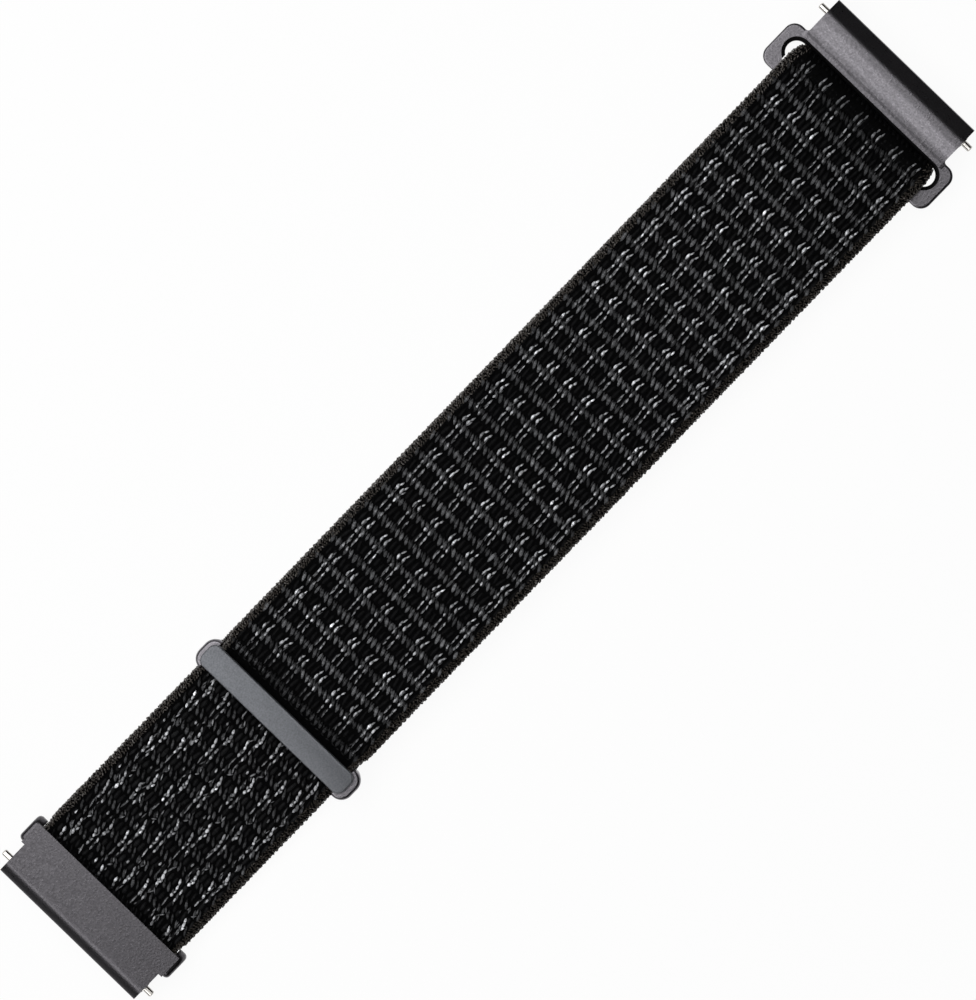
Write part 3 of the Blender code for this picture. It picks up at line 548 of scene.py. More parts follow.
def lower_ribs(route):
    """Ribs of the lower run's upper face, as (s, number), and their pitch."""
    pitch = bpy.context.scene.strap_webbing.face_pitch / MM
    start = route.s_at(FIRST_LOWER_RIB_X)
    return [(start + pitch * k, k) for k in range(-1, 30)], pitch


def weave_lower(strands, ribs, pitch, s0, s1, dim=lambda s: 1.0):
    """Dim slanted strokes, and rows where a bright cluster moves on one rib from row to row."""

    def put(s, q, *rest, **more):
        if s0 <= s < s1:
            length, width, tone = rest[:3]
            width *= 1.22 if tone > 0.55 else 1.0
            strands.add(s, q, length, width, min(tone * 1.12, 1.02) * dim(s), *rest[3:], **more)

    r = strands.random
    for s, k in ribs:
        for line in range(-LAST_LINE - 1, LAST_LINE + 1):
            q = line_place(line) + LOWER_SHIFT
            if abs(q) > LOWER_REACH:
                continue
            put(s, q, 1.0, 0.40, 0.29, 30, crest=-0.05, height=0.13)
            put(s + pitch / 2, q, pitch * 0.7, 0.55, 0.085, 3, crest=-0.17, seat=-0.34)
            if line % 4 == 1 or line % 4 == 2:
                put(s + 0.45, q + 0.22, 0.8, 0.28, 0.22, 38, crest=-0.07)
    for row in range(7):
        centre = (3 - row) * 4 * line_place(0) * 2 + LOWER_SHIFT
        low, high = centre + line_place(-1), centre + line_place(0)
        for s, k in ribs:
            for line in (low, high):
                for _ in range(2):
                    put(s + r.uniform(-1.2, 1.2), line + 0.14 * r.normal(), r.uniform(0.5, 1.0), 0.17,
                        r.uniform(0.3, 0.6), 18 * r.normal() + 8, crest=-0.02)
            for along, line, aside, length, width, tone, slant, crest, seat in CLUSTERS[(k - row) % 3]:
                tone = r.choice(tone) if isinstance(tone, tuple) else tone
                put(s + along, (low, high)[line] + aside, length, width, tone, slant, crest=crest, seat=seat)


EDGE_ROWS = 9
EDGE_STEP = 0.33
OUTER_ROWS, RIM_ROWS = (3, 4, 5, 6), (3, 4, 5)
# The first is painted light that makes the +Y selvedge paler; the second makes the rim rows paler
PAINTED_LIGHT_EDGE, PALE_RIM = 0.35, 0.6


def weave_edges(strands, route, s0, s1):
    """The selvedges: small brown-black strokes that wrap round both edges, paler on their rim; the +Y edge is paler
    still, as painted light.
    """
    r = strands.random
    for side in (-1, 1):
        for row in range(EDGE_ROWS):
            # Painted light makes the +Y edge paler; the rim rows are paler too
            pale = (PAINTED_LIGHT_EDGE if side > 0 else 0.0) + (PALE_RIM if row in RIM_ROWS else 0.0)
            s = s0 + 0.25 * (row % 2)
            while s < s1:
                half = float(np.interp(s, route.s, route.half))
                thick = float(np.interp(s, route.s, route.t))
                flat = half - thick / 2
                q = flat - 0.25 + row * (0.25 + thick / 2 * math.pi) / (EDGE_ROWS - 0.8)
                lean = r.choice((-48, 40, 62)) + 10 * r.normal()
                tone = r.choice((0.1, 0.25, 0.42, 0.7), p=(0.3, 0.38, 0.28, 0.04))
                out = 0.055 * math.sin(s * 8.9 + side) - (0.0 if row in OUTER_ROWS else 0.04)
                strands.add(s, side * q, 0.46, 0.19, tone + pale, side * lean,
                            crest=out + 0.01, seat=out - 0.1, height=0.09, edge=0.9)
                s += EDGE_STEP * (1 + 0.2 * r.normal())


# ---------------------------------------------------------------- materials


def add_node(tree, kind, **values):
    """A node with properties; a leading underscore names an input, which gets a value or a link."""
    made = tree.nodes.new(kind)
    for name, value in values.items():
        if not name.startswith("_"):
            setattr(made, name, value)
            continue
        key = name[1:]
        socket = made.inputs[int(key) if key.isdigit() else key.replace("_", " ")]
        if isinstance(value, bpy.types.NodeSocket):
            tree.links.new(value, socket)
        else:
            socket.default_value = value
    return made


def math_node(tree, operation, first, second):
    return add_node(tree, "ShaderNodeMath", operation=operation, _0=first, _1=second).outputs[0]


def new_group(name, inputs, outputs):
    """A shader node group with its sockets, and its input and output nodes."""
    group = bpy.data.node_groups.new(name, "ShaderNodeTree")
    for label, default in inputs:
        socket = group.interface.new_socket(name=label, in_out="INPUT", socket_type="NodeSocketFloat")
        socket.default_value = default
    for label in outputs:
        group.interface.new_socket(name=label, in_out="OUTPUT", socket_type="NodeSocketFloat")
    return group, group.nodes.new("NodeGroupInput"), group.nodes.new("NodeGroupOutput")


def strand_group():
    """Fine filaments that run along each strand, and painted glints, slower light and dark, along it."""
    found = bpy.data.node_groups.get("Strand filaments")
    if found:
        return found
    group, given, out = new_group(
        "Strand filaments", [("Filaments", 7.0), ("Glint", 5.0)], ["Streak", "Relief"])
    held = add_node(group, "ShaderNodeAttribute", attribute_name="strand")
    along, round_, seed = add_node(group, "ShaderNodeSeparateXYZ", _0=held.outputs["Vector"]).outputs
    fine_y = math_node(group, "MULTIPLY", round_, given.outputs["Filaments"])
    fine = add_node(group, "ShaderNodeCombineXYZ", _X=along, _Y=fine_y, _Z=seed)
    threads = add_node(group, "ShaderNodeTexNoise", _Scale=1.6, _Detail=2.0, _Vector=fine.outputs[0])
    slow_x = math_node(group, "MULTIPLY", along, given.outputs["Glint"])
    slow = add_node(group, "ShaderNodeCombineXYZ", _X=slow_x, _Z=seed)
    glints = add_node(group, "ShaderNodeTexNoise", _Scale=1.0, _Detail=1.0, _Vector=slow.outputs[0])
    both = math_node(group, "MULTIPLY", threads.outputs["Fac"], glints.outputs["Fac"])
    spread = add_node(group, "ShaderNodeMapRange", _0=both, _1=0.12, _2=0.42, _3=0.35, _4=1.35)
    group.links.new(spread.outputs[0], out.inputs["Streak"])
    group.links.new(threads.outputs["Fac"], out.inputs["Relief"])
    return group


def new_material(name):
    """A material with its node tree and its Principled shader."""
    material = bpy.data.materials.new(name)
    material.use_nodes = True
    return material, material.node_tree, material.node_tree.nodes["Principled BSDF"]


def link_bump(tree, shader, relief, strength, distance):
    bump = add_node(tree, "ShaderNodeBump", _Strength=strength, _Distance=distance, _Height=relief)
    tree.links.new(bump.outputs[0], shader.inputs["Normal"])


def yarn_material(name, roughness, specular, depth):
    """Yarn coloured by its strands, with filaments along them."""
    material, tree, shader = new_material(name)
    shader.inputs["Roughness"].default_value = roughness
    shader.inputs["Specular IOR Level"].default_value = specular
    colour = add_node(tree, "ShaderNodeAttribute", attribute_name="yarn")
    group = add_node(tree, "ShaderNodeGroup", node_tree=strand_group())
    shade = add_node(tree, "ShaderNodeVectorMath", operation="SCALE",
                     _0=colour.outputs["Color"], _Scale=group.outputs["Streak"])
    tree.links.new(shade.outputs[0], shader.inputs["Base Color"])
    link_bump(tree, shader, group.outputs["Relief"], 0.6, depth)
    return material


def grain_group():
    """Blasted grain: fine bumps of a given size, and slow clouds for colour."""
    found = bpy.data.node_groups.get("Blasted grain")
    if found:
        return found
    group, given, out = new_group("Blasted grain", [("Fineness", 5000.0)], ["Grain", "Relief"])
    place_ = add_node(group, "ShaderNodeTexCoord").outputs["Object"]
    scaled = add_node(group, "ShaderNodeVectorMath", operation="SCALE", _0=place_, _Scale=given.outputs["Fineness"])
    bumps, clouds = (
        add_node(group, "ShaderNodeTexNoise", _Detail=2.0, _Vector=scaled.outputs[0], **more).outputs["Fac"]
        for more in ({"_Scale": 1.0, "_Roughness": 0.55}, {"_Scale": 0.06}))
    spread = add_node(group, "ShaderNodeMapRange", _0=bumps, _1=0.3, _2=0.7, _3=-0.15, _4=0.85)
    both = add_node(group, "ShaderNodeMath", operation="MULTIPLY_ADD", _0=clouds, _1=0.35, _2=spread.outputs[0])
    group.links.new(both.outputs[0], out.inputs["Grain"])
    group.links.new(bumps, out.inputs["Relief"])
    return group


def metal_material(name, colour, roughness, metallic, depth, contrast, fineness):
    """Metal or coating whose colour and height vary with the blasted grain."""
    material, tree, shader = new_material(name)
    shader.inputs["Metallic"].default_value = metallic
    group = add_node(tree, "ShaderNodeGroup", node_tree=grain_group(), _Fineness=fineness)
    grain = group.outputs["Grain"]
    dark, light = ((*[c * (1 + swing) for c in colour], 1) for swing in (-contrast, contrast))
    mix = add_node(tree, "ShaderNodeMix", data_type="RGBA", _A=dark, _B=light, _Factor=grain)
    tree.links.new(mix.outputs["Result"], shader.inputs["Base Color"])
    rough = add_node(tree, "ShaderNodeMapRange", _3=roughness + 0.05, _4=roughness - 0.05, _0=grain)
    tree.links.new(rough.outputs[0], shader.inputs["Roughness"])
    link_bump(tree, shader, group.outputs["Relief"], 1.0, depth)
    return material


# The setting with the colour, its share, roughness, metallic, relief in mm, contrast, fineness
METALS = {
    "blasted_gunmetal": ("gunmetal", 1.0, 0.32, 1.0, 0.016, 0.18, 1.0),
    # Painted shade: a darker copy of the gunmetal for the left adapter
    "dark_gunmetal": ("gunmetal", 0.66, 0.32, 1.0, 0.016, 0.18, 1.0),
    # Painted light: a lighter copy of the gunmetal for the keeper's frame
    "pale_gunmetal": ("gunmetal", 1.45, 0.32, 1.0, 0.016, 0.18, 1.0),
    # Painted shade: a near-black copy of the gunmetal for the slot's inner lip
    "slot_lip": ("gunmetal", 0.07, 0.5, 0.6, 0.03, 0.2, 1.0),
    "satin_keeper_plate": ("face", 1.0, 0.55, 1.0, 0.015, 0.10, 1.2),
    "turned_steel": ("steel", 1.0, 0.24, 1.0, 0.003, 0.06, 2.0),
}


def metal(name):
    """One of the metals, made when it is first asked for."""
    setting, share, roughness, metallic, relief, contrast, fineness = METALS[name]
    look = bpy.context.scene.strap_metal
    return bpy.data.materials.get(name) or metal_material(
        name, [c * share for c in getattr(look, setting)], roughness, metallic, relief * MM, contrast,
        fineness / look.grain)


def webbing_yarn():
    return bpy.data.materials.get("webbing_yarn") or yarn_material("webbing_yarn", 0.55, 0.06, 0.03 * MM)


def webbing_ground():
    return bpy.data.materials.get("webbing_ground") or yarn_material("webbing_ground", 0.9, 0.02, 0.05 * MM)


# ---------------------------------------------------------------- solids


def loft(name, rings, closed=False):
    """A solid through rings of equally many points in mm."""
    shape = bmesh.new()
    rows = [[shape.verts.new([c * MM for c in point]) for point in ring] for ring in rings]
    pairs = list(zip(rows, rows[1:]))
    if closed:
        pairs.append((rows[-1], rows[0]))
    else:
        shape.faces.new(rows[0])
        shape.faces.new(rows[-1])
    for near, far in pairs:
        for i in range(len(near)):
            j = (i + 1) % len(near)
            shape.faces.new((near[i], near[j], far[j], far[i]))
    bmesh.ops.recalc_face_normals(shape, faces=shape.faces)
    mesh = bpy.data.meshes.new(name)
    shape.to_mesh(mesh)
    shape.free()
    return new_object(name, mesh)


def combine(item, tool, operation):
    """Adds or cuts a tool, which is then deleted."""
    modifier = item.modifiers.new(tool.name, "BOOLEAN")
    modifier.operation = operation
    modifier.material_mode = "TRANSFER"
    modifier.object = tool
    settle(item)
    bpy.data.objects.remove(tool, do_unlink=True)


def one_finish(item, material):
    """Gives every face of a solid one material, which its cuts and joins keep."""
    item.data.materials.append(material)
    return item


def settle(item):
    """Applies every modifier to the mesh."""
    graph = bpy.context.evaluated_depsgraph_get()
    mesh = bpy.data.meshes.new_from_object(item.evaluated_get(graph))
    item.modifiers.clear()
    old, item.data = item.data, mesh
    mesh.name = item.name
    bpy.data.meshes.remove(old)


def ease_edges(item, width, segments=3, angle=28):
    """Rounds the edges over an angle, and shades the faces smooth."""
    shape = bmesh.new()
    shape.from_mesh(item.data)
    bmesh.ops.remove_doubles(shape, verts=shape.verts, dist=0.002 * MM)
    bmesh.ops.dissolve_limit(shape, angle_limit=math.radians(0.5), verts=shape.verts, edges=shape.edges)
    shape.to_mesh(item.data)
    shape.free()
    bevel = item.modifiers.new("edges", "BEVEL")
    bevel.width = width * MM
    bevel.segments = segments
    bevel.limit_method = "ANGLE"
    bevel.angle_limit = math.radians(angle)
    bevel.use_clamp_overlap = True
    bevel.miter_outer = "MITER_ARC"
    item.modifiers.new("weights", "WEIGHTED_NORMAL").keep_sharp = True
    item.data.shade_smooth()
    settle(item)
    item.data.set_sharp_from_angle(angle=math.radians(50))


def outline_arc(centre, radius, start, end, steps):
    """Points on an arc; a pair of radii makes it an ellipse."""
    rx, rz = radius if isinstance(radius, tuple) else (radius, radius)
    angles = [math.radians(start + (end - start) * i / steps) for i in range(steps + 1)]
    return [(centre[0] + rx * math.cos(a), centre[1] + rz * math.sin(a)) for a in angles]


def across(outline, half):
    return [[(x, y, z) for x, z in outline] for y in (-half, half)]


def turned(name, x, z, profile, sides=40):
    rings = []
    for y, radius in profile:
        angles = [2 * math.pi * (i + 0.5) / sides for i in range(sides)]
        rings.append([(x + radius * math.cos(a), y, z + radius * math.sin(a)) for a in angles])
    return loft(name, rings)


def rounded_rings(x, length, width, radius, levels, steps=12, aside=0.0):
    """Rings of a rounded rectangle centred on (x, aside), at (z, inset) levels."""
    rings = []
    for z, inset in levels:
        ring = []
        for sx, sy, start in ((1, 1, 0), (-1, 1, 90), (-1, -1, 180), (1, -1, 270)):
            r = radius - inset
            centre = (sx * (length / 2 - inset - r), sy * (width / 2 - inset - r))
            ring += outline_arc(centre, r, start, start + 90, steps)
        rings.append([(x + px, aside + py, z) for px, py in ring])
    return rings


def block(name, x, y, z):
    corners = ((x[0], y[0]), (x[1], y[0]), (x[1], y[1]), (x[0], y[1]))
    return loft(name, [[(px, py, pz) for px, py in corners] for pz in z])


def crowned(x):
    """Height of the left adapter's slightly crowned plate."""
    share = (x + 68.9) / (PLATE_EDGE_X + 68.9)
    return LEFT_HEIGHT - 0.02 * share - 0.17 * share ** 2


def cut_bore(item, x, z):
    """Cuts a spring bar's bore, and room below it for the release knob."""
    combine(item, turned("bore", x, z, [(-12, 0.85), (12, 0.85)]), "DIFFERENCE")
    combine(item, block("knob_room", (x - 0.8, x + 0.8), (-8.25, -5.15), (-1.0, z)), "DIFFERENCE")


def place(item, body, material, slot, *replaced):
    """Gives a finished piece its material and body, and hides the solids it stands for; slot is not used."""
    if not any(item.data.materials):
        item.data.materials.clear()
        item.data.materials.append(material)
    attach(item, body)
    if replaced:
        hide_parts(*replaced)
    return item


def ground(name, route, s0, s1, body, *depth):
    """The ground weave of a piece that rides on one body and stands for the solid of its name."""
    return place(ground_mesh(name, route, s0, s1, *depth), body, webbing_ground(), "webbing", name)


def woven(name, route, yarn, body=None, slot="webbing", *replaced):
    """Gathered strands on a route; a piece that rides on one body is placed at once."""
    piece = weave_mesh(name, route, yarn, FINE_FORM)
    return place(piece, body, webbing_yarn(), slot, *replaced) if body else piece


def selvedges(name, route, seed, s0, s1, body=None):
    """A stretch of both bound edges."""
    yarn = Strands(seed)
    weave_edges(yarn, route, s0, s1)
    piece = weave_mesh(name, route, yarn, PLAIN_FORM)
    return place(piece, body, webbing_yarn(), "webbing") if body else piece


def stretch(pieces):
    """Finishes a run's pieces, ground first, that ride from one body over to another."""
    for piece in pieces:
        piece.data.materials.append(webbing_ground() if piece is pieces[0] else webbing_yarn())
        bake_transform(piece)


# ---------------------------------------------------------------- operators


class StrapOperator:
    bl_options = {"REGISTER", "UNDO"}

    def execute(self, context):
        made = self.make(context)
        if made is None:
            raise RuntimeError(f"{self.bl_label} made nothing")
        return {"FINISHED"}


class STRAP_OT_webbing_fixed(StrapOperator, bpy.types.Operator):
    """Weaves the sewn tail and the loop round the left adapter's pin"""

    bl_idname = "strap.webbing_fixed"
    bl_label = "Fixed end"

    def make(self, context):
        route = lower_route()
        end = route.s_at(FIXED_END_X) + JOIN / 2
        ground("webbing_fixed_end", route, 0.05, end, "band")
        ribs, pitch = lower_ribs(route)
        yarn = Strands(11)
        plate = route.s_at(PLATE_EDGE_X)
        # Painted shadow: the weave darkens next to the left adapter's plate edge
        weave_lower(yarn, ribs, pitch, route.s_at(-64.0), end,
                    dim=lambda s: float(0.2 + 0.8 * ease((s - plate) / 1.3)))
        tail = [(0.8 + pitch * k, k) for k in range(4)]
        weave_lower(yarn, tail, pitch, 0.3, 8.0, dim=lambda s: 0.8)
        woven("webbing_fixed_end_weave", route, yarn, "band")
        under, back = Strands(13), upper_route()
        weave_upper(under, upper_ribs(back), back.s_at(FIXED_END_X + JOIN, "back"), back.s[-1] - 0.3)
        woven("webbing_fixed_end_back", back, under, "band")
        return selvedges("webbing_fixed_end_edges", route, 12, 0.2, end, "band")


class STRAP_OT_webbing_lower(StrapOperator, bpy.types.Operator):
    """Weaves the lower run, which stretches as the strap is let out"""

    bl_idname = "strap.webbing_lower"
    bl_label = "Lower run"

    def make(self, context):
        face, back = lower_route(), upper_route()
        s0, s1 = face.s_at(FIXED_END_X + JOIN) - JOIN / 2, face.s_at(FOLD_START_X - JOIN) + JOIN / 2
        base = ground_mesh("webbing_lower_run", face, s0, s1)
        ribs, pitch = lower_ribs(face)
        yarn = Strands(21)
        weave_lower(yarn, ribs, pitch, s0, face.s_at(9.0))
        top = woven("webbing_lower_run_face", face, yarn)
        under = Strands(22)
        start, stop = back.s_at(FOLD_START_X - JOIN, "back"), back.s_at(FIXED_END_X + JOIN, "back")
        weave_upper(under, upper_ribs(back), start, stop)
        low = woven("webbing_lower_run_back", back, under)
        sides = selvedges("webbing_lower_run_edges", face, 23, s0, s1)
        stretch((base, top, low, sides))
        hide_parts("webbing_lower_run")
        return base


class STRAP_OT_webbing_fold(StrapOperator, bpy.types.Operator):
    """Weaves the fold round the right adapter's outer bar"""

    bl_idname = "strap.webbing_fold"
    bl_label = "Fold"

    def make(self, context):
        route = upper_route()
        s0, s1 = route.s_at(FOLD_START_X) - JOIN / 2, route.s_at(FOLD_START_X, "back") + JOIN / 2
        turn = route.s_at(FOLD_CENTRE[0] - 1.5)

        def depth(s):
            return float(0.3 - 0.27 * (ease((s - turn - 0.8) / 1.4) - ease((s - turn - 6.0) / 1.5)))

        ground("webbing_fold", route, s0, s1, "right_end", depth)
        middle = turn + 6.5
        yarn = Strands(31)
        ribs = upper_ribs(route)
        # Painted shade: the yarn is darkened where it turns down into the slot
        weave_upper(yarn, ribs, s0, middle, dim=lambda s: float(0.88 - 0.76 * ease((s - turn) / 1.6)))
        weave_upper(yarn, ribs, middle, s1)
        woven("webbing_fold_weave", route, yarn, "right_end")
        return selvedges("webbing_fold_edges", route, 32, s0, s1, "right_end")


class STRAP_OT_webbing_upper(StrapOperator, bpy.types.Operator):
    """Weaves the upper run, which shortens as the strap is let out"""

    bl_idname = "strap.webbing_upper"
    bl_label = "Upper run"

    def make(self, context):
        route = upper_route()
        s0, s1 = route.s_at(FREE_END_X + JOIN) - JOIN / 2, route.s_at(FOLD_START_X - JOIN) + JOIN / 2
        base = ground_mesh("webbing_upper_run", route, s0, s1)
        yarn = Strands(41)
        weave_upper(yarn, upper_ribs(route), s0, s1)
        top = woven("webbing_upper_run_weave", route, yarn)
        sides = selvedges("webbing_upper_run_edges", route, 42, s0, s1)
        stretch((base, top, sides))
        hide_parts("webbing_upper_run")
        return base


class STRAP_OT_webbing_free(StrapOperator, bpy.types.Operator):
    """Weaves the free end and its loop round the keeper's bar"""

    bl_idname = "strap.webbing_free"
    bl_label = "Free end"

    def make(self, context):
        route = upper_route()
        end = route.s_at(FREE_END_X) + JOIN / 2
        ground("webbing_free_end", route, 0.05, end, "keeper")
        start = route.s_at(KEEPER_X + 1.6)
        yarn = Strands(51)
        # Painted shadow: the weave darkens where it comes out beside the keeper's plate
        weave_upper(yarn, upper_ribs(route), start, end,
                    dim=lambda s: float(0.15 + 0.85 * ease((s - start) / 2.6)))
        woven("webbing_free_end_weave", route, yarn, "keeper")
        return selvedges("webbing_free_end_edges", route, 52, 0.2, end, "keeper")


class STRAP_OT_left_adapter(StrapOperator, bpy.types.Operator):
    """Machines the left lug adapter"""

    bl_idname = "strap.left_adapter"
    bl_label = "Left adapter"

    def make(self, context):
        left, top = -STRAP_END, LEFT_HEIGHT
        outline = outline_arc((left + 1.5, 1.5), 1.5, 270, 180, 14)
        nose = ((0, 2.6), (0.02, 2.8), (0.08, 2.915), (0.25, 3.045), (0.5, 3.23), (0.71, 3.364), (0.94, 3.495),
                (1.18, 3.607), (1.42, 3.685))
        outline += [(left + x, z) for x, z in nose]
        wing_top = [(x, crowned(x)) for x in np.linspace(WING_START_X, PLATE_EDGE_X, 9)]
        outline += [(x, crowned(x)) for x in np.linspace(-68.55, WING_START_X, 7)[:-1]] + wing_top
        outline += [(PLATE_EDGE_X, PIN[1] + 1.4)]
        outline += outline_arc(PIN, 1.4, 90, 225, 20)
        outline.append((PIN[0] - PIN[1], 0))
        item = loft("left_adapter_body", across(outline, HALF_WIDTH))
        section = wing_top + [(PLATE_EDGE_X, top - 0.8), (WING_START_X, top - 0.8)]
        wing = loft("wing", across(section, 11.4))
        combine(item, wing, "UNION")
        for side in (-1, 1):
            rings = []
            for y, inset in ((10.8, 0), (11.6, 0), (11.85, 0.12), (12.0, 0.3), (12.05, 0.5)):
                low, high, wide, tight = 0.25, top - 0.58, 1.4, 0.7
                ring = outline_arc((CHEEK_END_X - wide, low + wide), wide - inset, 270, 360, 10)
                ring += outline_arc((CHEEK_END_X - wide, high - wide), wide - inset, 0, 90, 10)
                ring += outline_arc((WING_START_X + tight, high - tight), tight - inset, 90, 180, 6)
                ring += outline_arc((WING_START_X + tight, low + tight), tight - inset, 180, 270, 6)
                rings.append([(x, side * y, z) for x, z in ring])
            combine(item, loft("cheek", rings), "UNION")
        combine(item, turned("pin_hole", *PIN, [(-13, 0.56), (13, 0.56)]), "DIFFERENCE")
        cut_bore(item, *LEFT_BAR)
        ease_edges(item, 0.08)
        # Painted shade: the left adapter gets a darker copy of the gunmetal
        return place(item, "left_adapter", metal("dark_gunmetal"), "gunmetal", "left_adapter")


class STRAP_OT_right_adapter(StrapOperator, bpy.types.Operator):
    """Machines the right lug adapter: slot, rim, groove and cushion-shaped body"""

    bl_idname = "strap.right_adapter"
    bl_label = "Right adapter"

    def make(self, context):
        edge, rim, groove, crest = SLOT[1], 3.06, 65.34, 68.05
        outline = [(edge, 1.6), (edge, rim), (groove - 0.45, rim), (groove - 0.25, rim - 0.025), (groove, rim - 0.085)]
        for i in range(1, 25):
            share = i / 25
            outline.append((groove + share * (crest - groove), float(rim - 0.085 + (3.865 - rim) * ease(share))))
        outline += outline_arc((crest, 3.78 - 1.8), 1.8, 90, 60.5, 10)
        outline += [(70.38, 2.73), (70.46, 2.6), (70.49, 2.4)]
        outline += outline_arc(BARREL, 1.9, 0, -90, 20)
        for i in range(1, 12):
            share = i / 12
            outline.append((BARREL[0] - share * (BARREL[0] - edge), float(1.6 * ease(share))))
        blasted = metal("blasted_gunmetal")
        item = one_finish(loft("right_adapter_body", across(outline, HALF_WIDTH)), blasted)
        levels = [(1.6, 0.3), (1.68, 0.12), (1.82, 0.02), (1.95, 0), (2.6, 0), (2.72, 0.04), (2.80, 0.14), (2.84, 0.32)]
        rings = rounded_rings(FRAME_EDGE_X + FRAME_SIZE[0] / 2, *FRAME_SIZE, 1.4, levels)
        combine(item, one_finish(loft("frame", rings), blasted), "UNION")
        for side in (-1, 1):
            corner = [(SLOT[1], 10.7), (65.7, 10.7), (65.7, HALF_WIDTH)]
            corner += outline_arc((65.7, 11.25), 0.35, 270, 180, 6) + [(SLOT[1], 11.25)]
            fillet = loft("fillet", [[(x, side * y, z) for x, y in corner] for z in (1.7, 2.9)])
            combine(item, one_finish(fillet, blasted), "UNION")
        lip = 0.45
        flare = [(0.4, -1.0), (1.6, -0.12), (1.72, 0), (2.3, 0), (2.5, -0.1), (2.66, -0.25), (2.84, -lip), (3.2, -lip)]
        middle = (SLOT[0] + SLOT[1]) / 2
        length, width = SLOT_SIZE
        rings = rounded_rings(middle, length - 2 * lip, width - 2 * lip, length / 2 - lip, flare)
        # Painted shade: the slot's cut faces take the near-black copy of the gunmetal
        combine(item, one_finish(loft("slot", rings), metal("slot_lip")), "DIFFERENCE")
        combine(item, block("bar_side", (SLOT[0], middle), (-10.98, 10.98), (0.5, 4)), "DIFFERENCE")
        cut_bore(item, *BARREL)
        ease_edges(item, 0.05)
        return place(item, "right_adapter", blasted, "gunmetal", "right_adapter")


class STRAP_OT_keeper(StrapOperator, bpy.types.Operator):
    """Machines the keeper's frame and its face plate"""

    bl_idname = "strap.keeper"
    bl_label = "Keeper"

    def make(self, context):
        levels = [(0, 0.45), (0.08, 0.32), (0.3, 0.24), (2.2, 0.11), (3.4, 0.02), (4.0, 0), (4.2, 0.04),
                  (4.34, 0.14), (4.42, 0.28), (4.45, 0.42)]
        item = loft("keeper_body", rounded_rings(KEEPER_X, *KEEPER_SIZE, 1.5, levels, aside=KEEPER_ASIDE))
        rings = []
        for z, low, high in ((0.6, -10.94, 10.94), (2.5, -10.94, 10.94), (2.8, -10.78, 10.62), (6, -10.78, 10.62)):
            rings.append([(-38, low, z), (-32, low, z), (-32, high, z), (-38, high, z)])
        combine(item, loft("channel", rings), "DIFFERENCE")
        combine(item, turned("bar_hole", KEEPER_X, KEEPER_BAR_Z, [(-14, 0.46), (14, 0.46)]), "DIFFERENCE")
        ease_edges(item, 0.07)
        # Painted light: the keeper's frame gets a lighter copy of the gunmetal
        place(item, "keeper", metal("pale_gunmetal"), "gunmetal", "keeper_frame")
        levels = [(4.55, 0.12), (4.60, 0.03), (4.68, 0), (5.08, 0), (5.17, 0.03), (5.23, 0.09), (5.25, 0.18)]
        rings = rounded_rings(KEEPER_X, *FACE_PLATE_SIZE, 1.05, levels, 16, KEEPER_ASIDE / 2)
        plate = loft("keeper_plate", rings)
        plate.data.shade_smooth()
        plate.data.set_sharp_from_angle(angle=math.radians(40))
        place(plate, "keeper", metal("satin_keeper_plate"), "face_metal", "keeper_face_plate")
        ends = [(-12.2, 0.26), (-12.14, 0.36), (-12.04, 0.4), (12.04, 0.4), (12.14, 0.36), (12.2, 0.26)]
        bar = turned("keeper_cross_bar", KEEPER_X, KEEPER_BAR_Z, [(y + KEEPER_ASIDE, r) for y, r in ends])
        ease_edges(bar, 0.02, 1)
        return place(bar, "keeper", metal("turned_steel"), "steel", "keeper_bar")


class STRAP_OT_steel(StrapOperator, bpy.types.Operator):
    """Finishes the pins, bars, springs and knobs in steel"""

    bl_idname = "strap.steel"
    bl_label = "Steel pieces"

    def make(self, context):
        names = ["left_loop_pin"]
        for side in ("left", "right"):
            names += [f"{side}_{part}" for part in (
                "spring_bar_tube", "fixed_tip", "spring", "release_pin", "release_knob")]
        for name in names:
            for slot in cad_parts[name].material_slots:
                slot.material = metal("turned_steel")
        return names


class STRAP_OT_hooks(StrapOperator, bpy.types.Operator):
    """Makes the hook tape under the free end"""

    bl_idname = "strap.hooks"
    bl_label = "Hook tape"

    def make(self, context):
        low, high = (np.array(corner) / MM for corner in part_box("hook_patch"))
        tape = block("hook_tape", (low[0], high[0]), (low[1], high[1]), (high[2] - 0.2, high[2]))
        ease_edges(tape, 0.05, 2)
        place(tape, "keeper", hook_material(), "hook_tape", "hook_patch")
        rows = []
        for i in range(int((high[0] - low[0]) / HOOK_STEP)):
            for j in range(int((high[1] - low[1]) / HOOK_STEP)):
                rows.append((low[0] + 0.5 + HOOK_STEP * i, low[1] + 0.5 + HOOK_STEP * j + 0.2 * (i % 2)))
        return place(hook_mesh("hook_tape_hooks", rows, high[2] - 0.18), "keeper", hook_material(), "hook_tape")


def hook_material():
    return bpy.data.materials.get("nylon_hooks") or metal_material(
        "nylon_hooks", (0.016, 0.016, 0.018), 0.5, 0.0, 0.004 * MM, 0.2, 8000)


